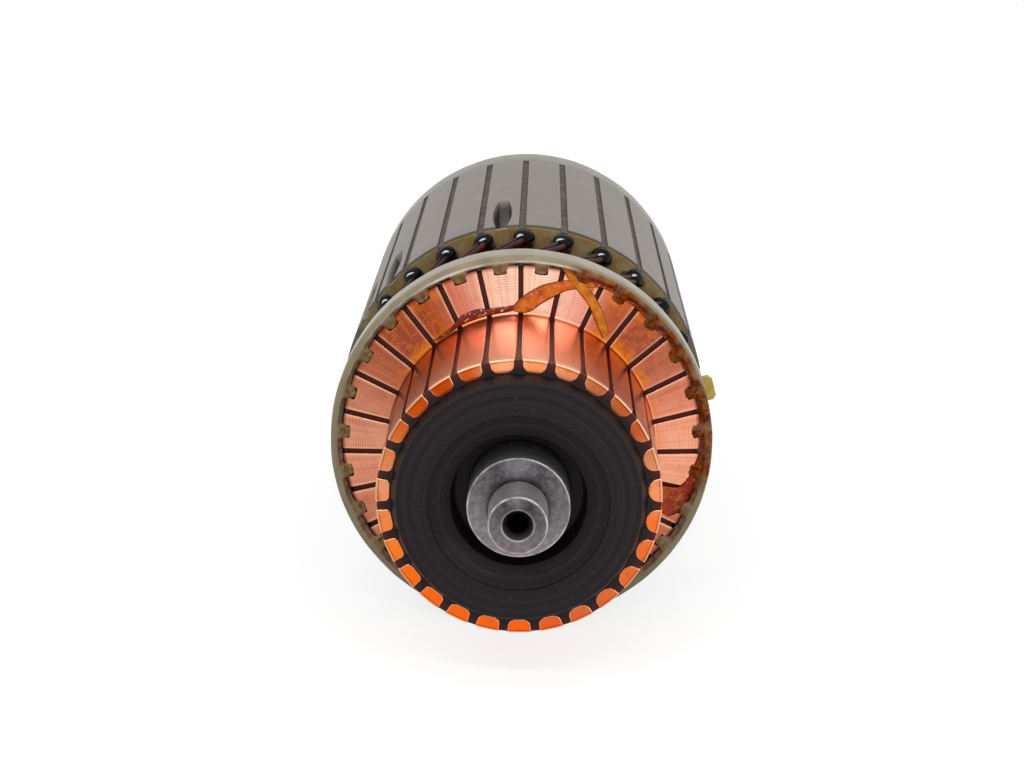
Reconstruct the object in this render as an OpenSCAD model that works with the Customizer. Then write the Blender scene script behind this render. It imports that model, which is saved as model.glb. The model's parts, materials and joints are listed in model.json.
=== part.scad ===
// Motor armature: the wound rotor of a universal motor, with its commutator.
// The axis lies along +Y, the commutator end faces -Y and +Z is up.
// The origin is on the axis, at the middle of the front bearing seat.
// Pieces are drawn upright along +Z from that origin, and lay() turns them down.
// Clock angles are seen from the commutator end: 0 at the top, clockwise positive.

/* [Shaft] */
// Diameter of the front bearing seat
front_seat_d = 8; // [7:0.5:9]
// Length of the front bearing seat
front_seat_len = 7.5; // [6:0.5:10]
// Diameter of the shaft through the commutator and the core
shaft_d = 14; // [13:0.5:15]
// Diameter of the rear bearing seat
rear_seat_d = 12; // [11:0.5:12.5]
// Length of the rear bearing seat
rear_seat_len = 10; // [8:0.5:14]
// Diameter of the drive end
drive_d = 10; // [8:0.5:10.5]
// Length of the drive end
drive_len = 18; // [12:1:25]
// Length of bare shaft between the sleeve and the rear bearing seat
rear_neck = 8; // [4:1:20]
// Chamfer on each end of the shaft and on its shoulders
shaft_chamfer = 0.5; // [0.2:0.1:0.6]
// Mouth diameter of the centre holes
centre_mouth_d = 4.4; // [3.6:0.1:5]
// Drilled diameter of the centre holes
centre_drill_d = 2.5; // [2:0.1:3]
// Depth of the centre holes
centre_depth = 6.5; // [4:0.5:9]

/* [Commutator] */
// Number of copper bars, which is also the number of core slots
bar_count = 27; // [25:1:29]
// Diameter of the brush track
track_d = 39; // [38:0.5:40]
// Length of the brush track
track_len = 25.7; // [20:0.1:32]
// Diameter of the risers
riser_d = 53.2; // [51:0.1:54]
// Thickness of the risers along the shaft
riser_t = 4.7; // [4.6:0.1:6]
// Distance that the risers' faces lean back from root to edge
riser_rake = 1.6; // [0:0.1:2]
// Height of the copper that shows at a bar's front end
bar_depth = 1.8; // [1.5:0.1:2.2]
// Radius of the corners at the inner end of a bar
bar_corner = 1.3; // [0.6:0.1:1.5]
// Chamfer round the front edge of the brush track
track_chamfer = 0.2; // [0.1:0.05:0.4]
// Radius of the fillet between the track and the risers
riser_fillet = 0.6; // [0.2:0.1:1]
// Width of the slits between bars
slit_w = 0.7; // [0.5:0.05:1]
// Depth of the slits below the brush track
undercut = 0.5; // [0.3:0.1:0.8]
// Depth of the lead notch in the edge of a riser
notch_depth = 1.3; // [1.1:0.1:1.8]

/* [Moulding] */
// Distance from the shaft's front shoulder to the bars' front ends
bar_setback = 4.2; // [3.5:0.1:6]
// Distance that the moulding's face stands ahead of the bars
face_reach = 2.1; // [1:0.1:2.5]
// Radial width of the bevel between the face and the bars
face_bevel = 0.8; // [0.4:0.1:1.2]
// Rise of the face from its rim to its step
face_rise = 0.6; // [0:0.1:0.9]
// Diameter of the step in the face
step_d = 24.6; // [22:0.1:27]
// Drop of the step in the face
step_drop = 0.25; // [0.1:0.05:0.5]
// Depth of the dish between the step and the recess
dish_depth = 1.5; // [0.5:0.1:2.5]
// Diameter of the recess round the shaft
recess_d = 18.4; // [17:0.1:20]
// Depth of the recess below the dish
recess_depth = 5; // [2:0.5:9]
// Length of the boss behind the risers
boss_len = 0.8; // [0.4:0.1:2]

/* [Core] */
// Diameter of the laminated core
core_d = 56.6; // [56.4:0.1:58]
// Length of the laminated core
core_len = 61.7; // [40:0.1:80]
// Distance from the back of the risers to the core
lead_span = 18.6; // [14:0.1:24]
// Width of a slot's mouth
mouth_w = 1.1; // [0.8:0.1:1.6]
// Thickness of the tooth tips beside a slot's mouth
tip_t = 1.1; // [0.9:0.1:1.5]
// Width of a tooth between two slots
tooth_w = 2.4; // [2.2:0.1:2.8]
// Depth of the slots below the core's surface
slot_depth = 11.3; // [10.5:0.1:12]
// Width of a balancing pocket at the core's surface
pocket_w = 3.1; // [2.4:0.1:3.6]
// Width of a balancing pocket at its floor
pocket_floor_w = 1.6; // [1:0.1:1.8]
// Depth of a balancing pocket
pocket_depth = 2.5; // [0.5:0.1:2.8]
// Diameter of the disc cutter that mills the pockets
cutter_d = 52; // [30:1:80]
// Distance from the core's front to the middle of the pockets
pocket_setback = 10.3; // [10:0.1:40]

/* [Insulation] */
// Wall of the sleeve between the shaft and the core
sleeve_t = 2; // [1.4:0.1:2.4]
// Thickness of the end plates on the core
plate_t = 1; // [0.6:0.1:1.6]
// Distance that the front end plate stays inside the core's edge
plate_margin = 0.4; // [0.2:0.1:0.8]
// Thickness of the slot liners
liner_t = 0.25; // [0.15:0.05:0.4]
// Diameter of the folded liner end at each slot mouth
fold_d = 3; // [2.4:0.1:3.4]
// Length of the folded liner ends
fold_len = 2.6; // [1.6:0.1:3.4]
// Distance of the wedges' outer edge below the core's surface
wedge_margin = 0.3; // [0.1:0.1:0.6]

/* [Windings] */
// Diameter of the enamelled wire
wire_d = 0.9; // [0.7:0.05:1]
// Clock angle that a lead moves round between riser and slot, in slot pitches
lead_shift = 1.5; // [0.5:1:2.5]
// Length of the rear coil heads
rear_head_len = 19; // [14:1:26]
// Distance between the coil heads and the leads or the rear ring
head_gap = 0.5; // [0.4:0.1:1]
// Height of the ridges that the crossing coils make
ridge_h = 1.4; // [0.6:0.1:2]
// Turn of the coils across the heads, in degrees
head_twist = 60; // [30:5:90]

/* [Resin rings] */
// Wall of the ring round the risers
band_t = 1.6; // [1.3:0.1:1.8]
// Width of the ring round the risers
band_w = 5.6; // [4.6:0.1:6.5]
// Distance that this ring runs on behind the risers
band_tail = 1.2; // [0:0.1:2]
// Rounding of the ring round the risers
band_round = 0.8; // [0.4:0.1:1.2]
// Length of the ring behind the core
rear_ring_len = 8.2; // [6:0.1:12]
// Wall of the ring behind the core
rear_ring_t = 1.4; // [1:0.1:2]
// Clock angle of the insulation tab behind the front ring
tab_clock = 76; // [0:0.5:359.5]
// Width of the insulation tab
tab_w = 3.6; // [2:0.1:4]
// Thickness of the insulation tab
tab_t = 1.1; // [0.6:0.1:1.6]
// Distance that the tab stands out of the front ring
tab_reach = 1.3; // [0.6:0.1:1.6]

/* [Hidden] */
$fn = 96;
overrun = 1;           // extra length of a cutting shape past what it cuts
pitch = 360 / bar_count;
half_pitch = pitch / 2;

shaft_r = shaft_d / 2;
track_r = track_d / 2;
riser_r = riser_d / 2;
bar_in_r = track_r - bar_depth;
core_r = core_d / 2;
band_r = riser_r + band_t;
sleeve_r = shaft_r + sleeve_t;
notch_play = 0.1;      // width of a lead notch past its two wires
notch_w = 2 * wire_d + notch_play;
face_margin = 0.15;    // step between the moulding's bevel and the bars' inner ends

// Stations along the shaft
tip_z = -front_seat_len / 2;
shoulder_z = tip_z + front_seat_len;
bar_front_z = shoulder_z + bar_setback;
riser_z = bar_front_z + track_len;
riser_back_z = riser_z + riser_t;
boss_z = riser_back_z + boss_len;
band_back_z = riser_back_z + band_tail;
band_z = band_back_z - band_w;
core_z = riser_back_z + lead_span;
plate_z = core_z - plate_t;
core_back_z = core_z + core_len;
plate_back_z = core_back_z + plate_t;
rear_head_z = plate_back_z + rear_head_len;
sleeve_tail = 1.5;     // length of the sleeve that shows behind the coils
sleeve_end_z = rear_head_z + sleeve_tail;
rear_seat_z = sleeve_end_z + rear_neck;
drive_z = rear_seat_z + rear_seat_len;
end_z = drive_z + drive_len;

// Dovetail anchor of a bar inside the moulding
tail_depth = 2;
tail_flare = 0.8;      // height of the dovetail's foot
tail_neck = 0.6;       // half its width at the neck
tail_foot = 1;         // half its width at the foot
tail_root = 0.5;       // height of the neck inside the bar
tail_inset = 3;        // distance behind the bar's front end

// Slot section: its sides run parallel to the teeth
shoulder_drop = 1;
wedge_foot = 0.7;      // height of the wedge below the slot's shoulders
slot_floor_r = core_r - slot_depth;
slot_shoulder_r = core_r - tip_t - shoulder_drop;
bundle_r = slot_shoulder_r - wedge_foot;
wedge_r = core_r - wedge_margin;

// Leads and folds
wire_sides = 8;
wire_gap = 0.02;       // half the space between the two wires of a lead
wire_margin = 0.05;    // distance of the wires inside the risers' edge
lead_recess = 0.4;     // distance of the wires' ends behind the risers' faces
lead_in = riser_t - riser_rake - lead_recess;
lead_r = riser_r - wire_d / 2 - wire_margin;
fold_r = core_r - plate_margin - fold_d / 2;
fold_z = plate_z - fold_len;
fold_nose = 0.7;       // share of the fold's radius that its rounded nose takes
lead_low_r = min(lead_r, fold_r) - wire_d / 2;
front_head_r = min(lead_low_r, fold_r - fold_d / 2) - head_gap;
front_head_len = plate_z - boss_z - head_gap;
ring_bore_r = core_r - rear_ring_t;
rear_head_r = ring_bore_r - head_gap;
head_play = 0.3;       // space between the coil heads and the sleeve
head_in_r = sleeve_r + head_play;

tab_margin = 0.7;      // distance of the tab's inner end outside the risers

// Teeth that hold a balancing pocket, in slot pitches from the top
pocket_teeth = [-0.5, -3.5, -4.5];

function two_digits(n) = str(n < 10 ? "0" : "", n);
function bar_name(i) = str("bar_", two_digits(i + 1));

// Placing

module lay() {
    rotate([-90, 0, 0]) children();
}

// Turns a piece drawn towards local +Y to its clock angle
module at_clock(angle) {
    rotate(180 + angle) children();
}

module at_each_slot() {
    for (i = [0 : bar_count - 1]) at_clock(i * pitch) children();
}

// Points of an arc about a centre, from one angle to another
function arc(centre, r, from, to, steps) =
    [for (i = [0 : steps]) centre + r * [cos(from + (to - from) * i / steps), sin(from + (to - from) * i / steps)]];

function mirrored(points) = [for (i = [len(points) - 1 : -1 : 0]) [-points[i].x, points[i].y]];

// Shaft

module centre_hole() {
    mouth = (centre_mouth_d - centre_drill_d) / 2;
    rotate_extrude() polygon([
        [0, -overrun],
        [centre_mouth_d / 2 + overrun, -overrun],
        [centre_drill_d / 2, mouth],
        [centre_drill_d / 2, centre_depth],
        [0, centre_depth + centre_drill_d / 3]
    ]);
}

module shaft() {
    c = shaft_chamfer;
    relief = 0.2;      // depth of the grinding relief beside a shoulder
    relief_w = 0.8;
    front_r = front_seat_d / 2;
    rear_r = rear_seat_d / 2;
    drive_r = drive_d / 2;
    color("silver") lay() difference() {
        rotate_extrude() polygon([
            [0, tip_z],
            [front_r - c, tip_z],
            [front_r, tip_z + c],
            [front_r, shoulder_z - relief_w],
            [front_r - relief, shoulder_z - relief_w + relief],
            [front_r - relief, shoulder_z],
            [shaft_r - c / 2, shoulder_z],
            [shaft_r, shoulder_z + c / 2],
            [shaft_r, rear_seat_z - c],
            [shaft_r - c, rear_seat_z],
            [rear_r - relief, rear_seat_z],
            [rear_r - relief, rear_seat_z + relief_w - relief],
            [rear_r, rear_seat_z + relief_w],
            [rear_r, drive_z - c],
            [rear_r - c, drive_z],
            [drive_r, drive_z],
            [drive_r, end_z - c],
            [drive_r - c, end_z],
            [0, end_z]
        ]);
        translate([0, 0, tip_z]) centre_hole();
        translate([0, 0, end_z]) mirror([0, 0, 1]) centre_hole();
    }
}

module shaft_sleeve() {
    color("tan") lay() tube(sleeve_r, shaft_r, boss_z, sleeve_end_z);
}

module tube(outer_r, bore_r, from_z, to_z) {
    translate([0, 0, from_z]) difference() {
        cylinder(r = outer_r, h = to_z - from_z);
        translate([0, 0, -overrun]) cylinder(r = bore_r, h = to_z - from_z + 2 * overrun);
    }
}

// Commutator

// Half the width of a bar at a distance from the axis: its sides run parallel to the slits
function bar_half_w(y) = y * tan(half_pitch) - slit_w / 2 / cos(half_pitch);

// Section of a bar across the shaft: a wedge with a rounded inner end
function bar_section() =
    let (corner_y = bar_in_r + bar_corner,
         side = concat(
            arc([bar_half_w(corner_y) - bar_corner, corner_y], bar_corner, -90, 0, 6),
            [[bar_half_w(riser_r + overrun), riser_r + overrun]]))
    concat(side, mirrored(side));

// Dovetail that holds a bar in the moulding
function tail_section() =
    let (foot_y = bar_in_r - tail_depth,
         side = [[tail_foot, foot_y], [tail_neck, foot_y + tail_flare], [tail_neck, bar_in_r + tail_root]])
    concat(side, mirrored(side));

module bar_tail() {
    translate([0, 0, bar_front_z + tail_inset])
        linear_extrude(riser_z - bar_front_z - tail_inset) polygon(tail_section());
}

// Outer shape of the bars: front chamfer, brush track, fillet and riser
module bar_turning() {
    f = riser_fillet;
    rotate_extrude() polygon(concat(
        [[bar_in_r - overrun, bar_front_z]],
        [[track_r - track_chamfer, bar_front_z], [track_r, bar_front_z + track_chamfer]],
        arc([track_r + f, riser_z - f], f, 180, 90, 5),
        [[riser_r, riser_z + riser_rake], [riser_r, riser_back_z], [bar_in_r - overrun, riser_back_z]]
    ));
}

// Lead notch, open at the riser's edge, with rounded corners at its floor
module lead_notch() {
    corner = 0.4;
    side = concat(
        arc([notch_w / 2 - corner, riser_r - notch_depth + corner], corner, -90, 0, 4),
        [[notch_w / 2, riser_r + overrun]]);
    translate([0, 0, riser_z - overrun])
        linear_extrude(riser_t + 2 * overrun) polygon(concat(side, mirrored(side)));
}

module bar(i) {
    color("peru") lay() at_clock((i + 0.5) * pitch) {
        difference() {
            intersection() {
                bar_turning();
                translate([0, 0, bar_front_z - overrun])
                    linear_extrude(riser_back_z - bar_front_z + 2 * overrun) polygon(bar_section());
            }
            lead_notch();
        }
        bar_tail();
    }
}

module commutator_moulding() {
    face_r = bar_in_r - face_margin - face_bevel;
    rim_z = bar_front_z - face_reach;
    step_z = rim_z - face_rise;
    dish_z = step_z + step_drop;
    lip_z = dish_z + dish_depth;
    fin_r = track_r - undercut;
    riser_fin_r = riser_r - undercut;
    color("#2b2426") lay() difference() {
        rotate_extrude() polygon([
            [shaft_r, lip_z + recess_depth],
            [recess_d / 2, lip_z + recess_depth],
            [recess_d / 2, lip_z],
            [step_d / 2, dish_z],
            [step_d / 2, step_z],
            [face_r, rim_z],
            [face_r + face_bevel, bar_front_z],
            [fin_r, bar_front_z],
            [fin_r, riser_z + undercut],
            [riser_fin_r, riser_z + riser_rake + undercut],
            [riser_fin_r, riser_back_z],
            [face_r, riser_back_z],
            [face_r, boss_z],
            [shaft_r, boss_z]
        ]);
        for (i = [0 : bar_count - 1]) at_clock((i + 0.5) * pitch) {
            translate([0, 0, bar_front_z - overrun])
                linear_extrude(riser_back_z - bar_front_z + 2 * overrun) polygon(bar_section());
            bar_tail();
        }
    }
}

module front_ring() {
    lip_w = 0.5;           // width of the slope from the ring's face down to the risers
    b = min(band_round, band_t - lip_w - 0.1);
    color("#a9ab9a") lay() rotate_extrude() polygon(concat(
        [[riser_r, riser_z + riser_rake], [riser_r + lip_w, band_z]],
        arc([band_r - b, band_z + b], b, -90, 0, 6),
        arc([band_r - b, band_back_z - b], b, 0, 90, 6),
        [[riser_r, band_back_z]]
    ));
}

module insulation_tab() {
    from_r = riser_r + tab_margin;
    side = [[tab_w / 2, from_r], [tab_w / 2, band_r + 0.6 * tab_reach], [tab_w / 3, band_r + tab_reach]];
    color("khaki") lay() at_clock(tab_clock) translate([0, 0, band_back_z])
        linear_extrude(tab_t) polygon(concat(side, mirrored(side)));
}

// Core

function slot_half_w(y) = y * tan(half_pitch) - tooth_w / 2 / cos(half_pitch);

// Radius of a slot's round floor, which runs smoothly into its sides
floor_round = (slot_floor_r * sin(half_pitch) - tooth_w / 2) / (1 - sin(half_pitch));

// One side of a slot from its floor up to a radius, drawn in by a margin
function slot_side(margin, top_r) = concat(
    arc([0, slot_floor_r + floor_round], floor_round - margin, -90, -half_pitch, 4),
    [[slot_half_w(top_r) - margin / cos(half_pitch), top_r]]);

function slot_mouth(outer_r) =
    [[slot_half_w(slot_shoulder_r), slot_shoulder_r],
     [mouth_w / 2, slot_shoulder_r + shoulder_drop],
     [mouth_w / 2, outer_r]];

module slot_prism(side, from_z, to_z) {
    translate([0, 0, from_z]) linear_extrude(to_z - from_z) polygon(concat(side, mirrored(side)));
}

module slotted_disc(outer_r, from_z, to_z) {
    difference() {
        tube(outer_r, sleeve_r, from_z, to_z);
        at_each_slot() slot_prism(
            concat(slot_side(0, bundle_r), slot_mouth(core_r + overrun)),
            from_z - overrun, to_z + overrun);
    }
}

// Balancing pocket: the cut of a disc cutter with sloping sides
module pocket() {
    cutter_r = cutter_d / 2;
    slope = (pocket_w - pocket_floor_w) / 2 / pocket_depth;
    edge = pocket_floor_w / 2;
    hub = edge + slope * cutter_r;
    translate([0, core_r - pocket_depth + cutter_r, core_z + pocket_setback]) rotate([0, 90, 0])
        rotate_extrude() polygon([[0, -hub], [cutter_r, -edge], [cutter_r, edge], [0, hub]]);
}

module lamination_stack() {
    color("#8c8480") lay() difference() {
        slotted_disc(core_r, core_z, core_back_z);
        for (tooth = pocket_teeth) at_clock(tooth * pitch) pocket();
    }
}

module front_end_plate() {
    color("#7d7350") lay() slotted_disc(core_r - plate_margin, plate_z, core_z);
}

module rear_end_plate() {
    color("#7d7350") lay() slotted_disc(ring_bore_r, core_back_z, plate_back_z);
}

module slot_liners() {
    side = slot_side(liner_t, bundle_r);
    color("#3d4a3c") lay() at_each_slot() difference() {
        slot_prism(slot_side(0, bundle_r), plate_z, plate_back_z);
        slot_prism(
            concat(side, [[side[len(side) - 1].x, bundle_r + overrun]]),
            plate_z - overrun, plate_back_z + overrun);
    }
}

module slot_bundles() {
    color("#5a2320") lay() at_each_slot() slot_prism(slot_side(liner_t, bundle_r), plate_z, plate_back_z);
}

module slot_wedges() {
    side = concat([[slot_half_w(bundle_r), bundle_r]], slot_mouth(wedge_r));
    color("#4a443c") lay() at_each_slot() slot_prism(side, plate_z, core_back_z);
}

module liner_folds() {
    r = fold_d / 2;
    lip = fold_nose * r;
    color("#15110f") lay() at_each_slot() translate([0, fold_r, plate_z]) mirror([0, 0, 1])
        rotate_extrude($fn = 48) polygon(concat(
            [[0, 0], [r, 0]], arc([r - lip, fold_len - lip], lip, 0, 90, 5), [[0, fold_len]]));
}

// Windings

// Fraction of a lead's turn that it has made at a fraction of its span
function eased(s) = s * s * (3 - 2 * s);

// Stations of a lead: straight through the riser's notch, then evenly spaced back to the slot
lead_steps = 6;
lead_stations = concat([-lead_in], [for (i = [0 : lead_steps]) (fold_z - riser_back_z) * i / lead_steps]);

// Ring of points round a wire, in the plane across the shaft, widened where the wire slants
function wire_ring(clock, side, z) =
    let (span = fold_z - riser_back_z,
         s = max(0, z / span),
         angle = clock + lead_shift * pitch * eased(s),
         r = lead_r + (fold_r - lead_r) * s,
         slant = r * lead_shift * pitch * PI / 180 * 6 * s * (1 - s) / span,
         stretch = sqrt(1 + slant * slant),
         along = [cos(angle), sin(angle), 0],
         outward = [sin(angle), -cos(angle), 0])
    [for (i = [0 : wire_sides - 1])
        let (a = 360 * i / wire_sides)
        outward * (r + wire_d / 2 * sin(a))
        + along * stretch * (side * (wire_d / 2 + wire_gap) + wire_d / 2 * cos(a))
        + [0, 0, riser_back_z + z]];

module lead_wire(clock, side) {
    rings = len(lead_stations);
    n = wire_sides;
    points = [for (z = lead_stations) each wire_ring(clock, side, z)];
    polyhedron(points, concat(
        [[for (i = [n - 1 : -1 : 0]) i]],
        [for (j = [0 : rings - 2]) for (i = [0 : n - 1])
            [j * n + i, j * n + (i + 1) % n, (j + 1) * n + (i + 1) % n, (j + 1) * n + i]],
        [[for (i = [0 : n - 1]) (rings - 1) * n + i]]));
}

module coil_leads() {
    color("#5c1e1a") lay() for (i = [0 : bar_count - 1]) for (side = [-1, 1])
        lead_wire((i + 0.5) * pitch, side);
}

// Ring of crossing coils, flat on its foot: a rounded section whose ridges turn as they cross it
module coil_heads(in_r, out_r, length, lean, twist) {
    around = 4 * bar_count;
    across = 13;
    mid_r = (in_r + out_r) / 2;
    half_w = (out_r - in_r) / 2;
    points = [for (j = [0 : around - 1]) for (i = [0 : across])
        let (t = 180 * i / across,
             turn = 360 * j / around,
             groove = ridge_h * sqrt(sin(t)) * (1 - cos(bar_count * turn + bar_count * twist * i / across)) / 2,
             side = (half_w - groove) * sign(cos(t)) * pow(abs(cos(t)), 0.7),
             z = (length - groove) * pow(sin(t), 0.6),
             r = max(in_r, mid_r + side - lean * z / length * (1 + cos(t)) / 2))
        [r * cos(turn), r * sin(turn), z]];
    row = across + 1;
    faces = [for (j = [0 : around - 1]) for (i = [0 : across])
        let (next_j = (j + 1) % around, next_i = (i + 1) % row)
        [j * row + i, j * row + next_i, next_j * row + next_i, next_j * row + i]];
    polyhedron(points, faces, convexity = 6);
}

module front_coil_heads() {
    color("#6b2a1f") lay() translate([0, 0, plate_z]) mirror([0, 0, 1])
        coil_heads(head_in_r, front_head_r, front_head_len, 2, head_twist / bar_count);
}

module rear_coil_heads() {
    color("#6b2a1f") lay() translate([0, 0, plate_back_z])
        coil_heads(head_in_r, rear_head_r, rear_head_len, 4, head_twist / bar_count);
}

module rear_ring() {
    color("#b4b7a6") lay() tube(core_r, ring_bore_r, core_back_z, core_back_z + rear_ring_len);
}

shaft();
shaft_sleeve();
commutator_moulding();
for (i = [0 : bar_count - 1]) bar(i);
front_ring();
lamination_stack();
front_end_plate();
rear_end_plate();
slot_liners();
slot_bundles();
slot_wedges();
liner_folds();
coil_leads();
front_coil_heads();
rear_coil_heads();
rear_ring();
insulation_tab();
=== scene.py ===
import json
import math
from functools import partial

import bmesh
import bpy
import numpy as np
from mathutils import Euler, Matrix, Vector


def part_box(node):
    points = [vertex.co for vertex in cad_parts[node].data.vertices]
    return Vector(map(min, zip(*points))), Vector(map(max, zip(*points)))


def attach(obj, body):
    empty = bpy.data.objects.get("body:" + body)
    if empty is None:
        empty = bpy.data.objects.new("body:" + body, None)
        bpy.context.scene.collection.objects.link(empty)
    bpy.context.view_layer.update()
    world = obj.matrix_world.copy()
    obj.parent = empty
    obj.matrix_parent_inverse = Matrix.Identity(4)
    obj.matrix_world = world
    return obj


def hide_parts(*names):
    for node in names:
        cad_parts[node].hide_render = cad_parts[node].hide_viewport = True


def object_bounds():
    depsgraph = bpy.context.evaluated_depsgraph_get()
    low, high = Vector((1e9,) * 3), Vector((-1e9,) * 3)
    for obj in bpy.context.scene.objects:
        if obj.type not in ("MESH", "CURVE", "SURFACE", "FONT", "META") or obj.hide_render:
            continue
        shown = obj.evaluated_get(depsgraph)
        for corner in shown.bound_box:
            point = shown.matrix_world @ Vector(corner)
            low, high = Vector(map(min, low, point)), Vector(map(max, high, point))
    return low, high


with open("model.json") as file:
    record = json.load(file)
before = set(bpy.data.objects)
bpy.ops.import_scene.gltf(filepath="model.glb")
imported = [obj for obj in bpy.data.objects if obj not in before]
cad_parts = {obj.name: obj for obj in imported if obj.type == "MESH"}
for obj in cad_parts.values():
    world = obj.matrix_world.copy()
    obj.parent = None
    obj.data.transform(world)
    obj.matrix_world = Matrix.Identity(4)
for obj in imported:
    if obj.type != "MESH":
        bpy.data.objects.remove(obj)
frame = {"nodes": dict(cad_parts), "record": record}
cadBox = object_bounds()
mm = 0.001
print("stage: frame loaded")

# The axis lies along +Y. Every length below is in millimetres, and a clock angle is seen
# from the commutator end: 0 at the top, clockwise positive.


def nodeSpan(node):
    low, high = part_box(node)
    return low.y / mm, high.y / mm, (high.x - low.x) / 2 / mm


mounts = {mount["name"]: mount for mount in frame["record"]["mounts"]}
barNames = sorted(name for name in frame["nodes"] if name.startswith("bar_"))
barCount = len(barNames)
pitch = 360 / barCount

barFront, riserBack, _ = nodeSpan("bar_01")
ringFront, ringBack, ringR = nodeSpan("front_ring")
_, coreBack, coreR = nodeSpan("lamination_stack")
plateFront = nodeSpan("front_end_plate")[0]
shaftFront, shaftBack, shaftR = nodeSpan("shaft")
rearFoot, rearTop, rearHeadR = nodeSpan("rear_coil_heads")
headFront, headFoot, frontHeadR = nodeSpan("front_coil_heads")
rearRingBack = nodeSpan("rear_ring")[1]
sleeveR = nodeSpan("shaft_sleeve")[2]
bossBack = nodeSpan("commutator_moulding")[1]
foldFront = nodeSpan("liner_folds")[0]
trackR = mounts["brush_track"]["dims"]["r_mm"]
riserR = max(abs(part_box(name)[0].z) for name in barNames) / mm

# small helpers

randomDraws = np.random.default_rng(27)


def clockPoints(clock, radius, station):
    # a point at a clock angle in degrees, a distance from the axis and a station along it
    turn = np.radians(clock)
    return np.stack(np.broadcast_arrays(radius * np.sin(turn), station, radius * np.cos(turn)), -1)


def sectionPoints(clock, across, up, station):
    # a point of a section drawn upright at the top (across, up), then turned to its clock angle
    turn = np.radians(clock)
    return np.stack(np.broadcast_arrays(up * np.sin(turn) + across * np.cos(turn), station,
                                        up * np.cos(turn) - across * np.sin(turn)), -1)


def wrapped(clock):
    # the same angle between -180 and 180 degrees
    return (clock + 180) % 360 - 180


def smoothNoise(count, waves, seed):
    # a closed curve of noise, about -1 to 1: a sum of whole-number sine waves with seeded phases
    draws = np.random.default_rng(seed)
    turn = np.linspace(0, 2 * np.pi, count, endpoint=False)
    curve = np.zeros(count)
    for wave in waves:
        curve += draws.uniform(0.4, 1.0) * np.sin(wave * turn + draws.uniform(0, 2 * np.pi))
    return curve / math.sqrt(len(waves))


def bump(x, middle, width):
    # a smooth hill: e to the minus square of the distance over its width
    return np.exp(-((x - middle) / width) ** 2)


def gridFaces(rows, cols, closeRows=False):
    # quads between neighbouring points of a grid whose columns close on themselves
    a, b = np.meshgrid(np.arange(rows if closeRows else rows - 1), np.arange(cols), indexing="ij")
    nextA, nextB = (a + 1) % rows, (b + 1) % cols
    quads = np.stack([a * cols + b, a * cols + nextB, nextA * cols + nextB, nextA * cols + b], -1)
    return quads.reshape(-1, 4).tolist()


def closedTube(grid):
    # a tube of closed rings; each end is closed by a ladder of quads between the ring's two halves
    rows, cols = grid.shape[:2]
    rungs = np.arange(cols // 2 - 1)
    ends = []
    for base in (0, (rows - 1) * cols):
        far = base + cols - 1 - rungs
        ends += np.stack([base + rungs, base + rungs + 1, far - 1, far], -1).tolist()
    return grid.reshape(-1, 3), gridFaces(rows, cols) + ends


def closedRing(grid):
    # a surface that closes on itself both ways
    rows, cols = grid.shape[:2]
    return grid.reshape(-1, 3), gridFaces(rows, cols, closeRows=True)


def joined(parts):
    # one list of points and one of faces from several
    points, faces, start = [], [], 0
    for partPoints, partFaces in parts:
        points.append(partPoints)
        faces += [[i + start for i in face] for face in partFaces]
        start += len(partPoints)
    return np.concatenate(points), faces


def turned(profile, steps):
    # a profile of (radius, station) pairs carried round the axis: a grid of rings
    profile = np.asarray(profile, float)
    turn = np.linspace(0, 360, steps, endpoint=False)
    return clockPoints(turn[:, None], profile[None, :, 0], profile[None, :, 1])


def rounded(corners, radius, steps=4):
    # a closed outline whose corners are replaced by arcs that touch both sides
    corners = np.asarray(corners, float)
    radii = np.broadcast_to(radius, len(corners))
    outline = []
    for i, corner in enumerate(corners):
        before, after = corners[i - 1] - corner, corners[(i + 1) % len(corners)] - corner
        lengthBefore, lengthAfter = np.linalg.norm(before), np.linalg.norm(after)
        before, after = before / lengthBefore, after / lengthAfter
        half = math.acos(np.clip(before @ after, -1, 1)) / 2
        if radii[i] <= 0 or half > 1.55:
            outline.append(corner)
            continue
        reach = min(radii[i] / math.tan(half), lengthBefore * 0.45, lengthAfter * 0.45)
        arcR = reach * math.tan(half)
        centre = corner + (before + after) / np.linalg.norm(before + after) * arcR / math.sin(half)
        start, end = corner + before * reach - centre, corner + after * reach - centre
        for t in np.linspace(0, 1, steps + 1):
            ray = start * (1 - t) + end * t
            outline.append(centre + ray / np.linalg.norm(ray) * arcR)
    return np.array(outline)


def makePiece(name, shape, material, replaced=(), sharp=38, values=None):
    # a mesh object from points in millimetres and faces, riding on the root body
    points, faces = shape
    mesh = bpy.data.meshes.new(name)
    mesh.from_pydata((points * mm).tolist(), [], faces)
    for key, numbers in (values or {}).items():
        mesh.attributes.new(key, "FLOAT", "POINT").data.foreach_set("value", np.asarray(numbers, np.float32))
    work = bmesh.new()
    work.from_mesh(mesh)
    bmesh.ops.remove_doubles(work, verts=work.verts, dist=2e-7)
    bmesh.ops.dissolve_degenerate(work, edges=work.edges, dist=1e-7)
    bmesh.ops.recalc_face_normals(work, faces=work.faces)
    work.to_mesh(mesh)
    work.free()
    mesh.polygons.foreach_set("use_smooth", [True] * len(mesh.polygons))
    mesh.set_sharp_from_angle(angle=math.radians(sharp))
    piece = bpy.data.objects.new(name, mesh)
    bpy.context.scene.collection.objects.link(piece)
    mesh.materials.append(material)
    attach(piece, "root")
    if replaced:
        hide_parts(*replaced)
    return piece


# materials


def linearColour(text):
    # an sRGB hex value as linear red, green, blue and alpha
    channels = [int(text[i:i + 2], 16) / 255 for i in (1, 3, 5)]
    return [c / 12.92 if c <= 0.04045 else ((c + 0.055) / 1.055) ** 2.4 for c in channels] + [1.0]


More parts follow.
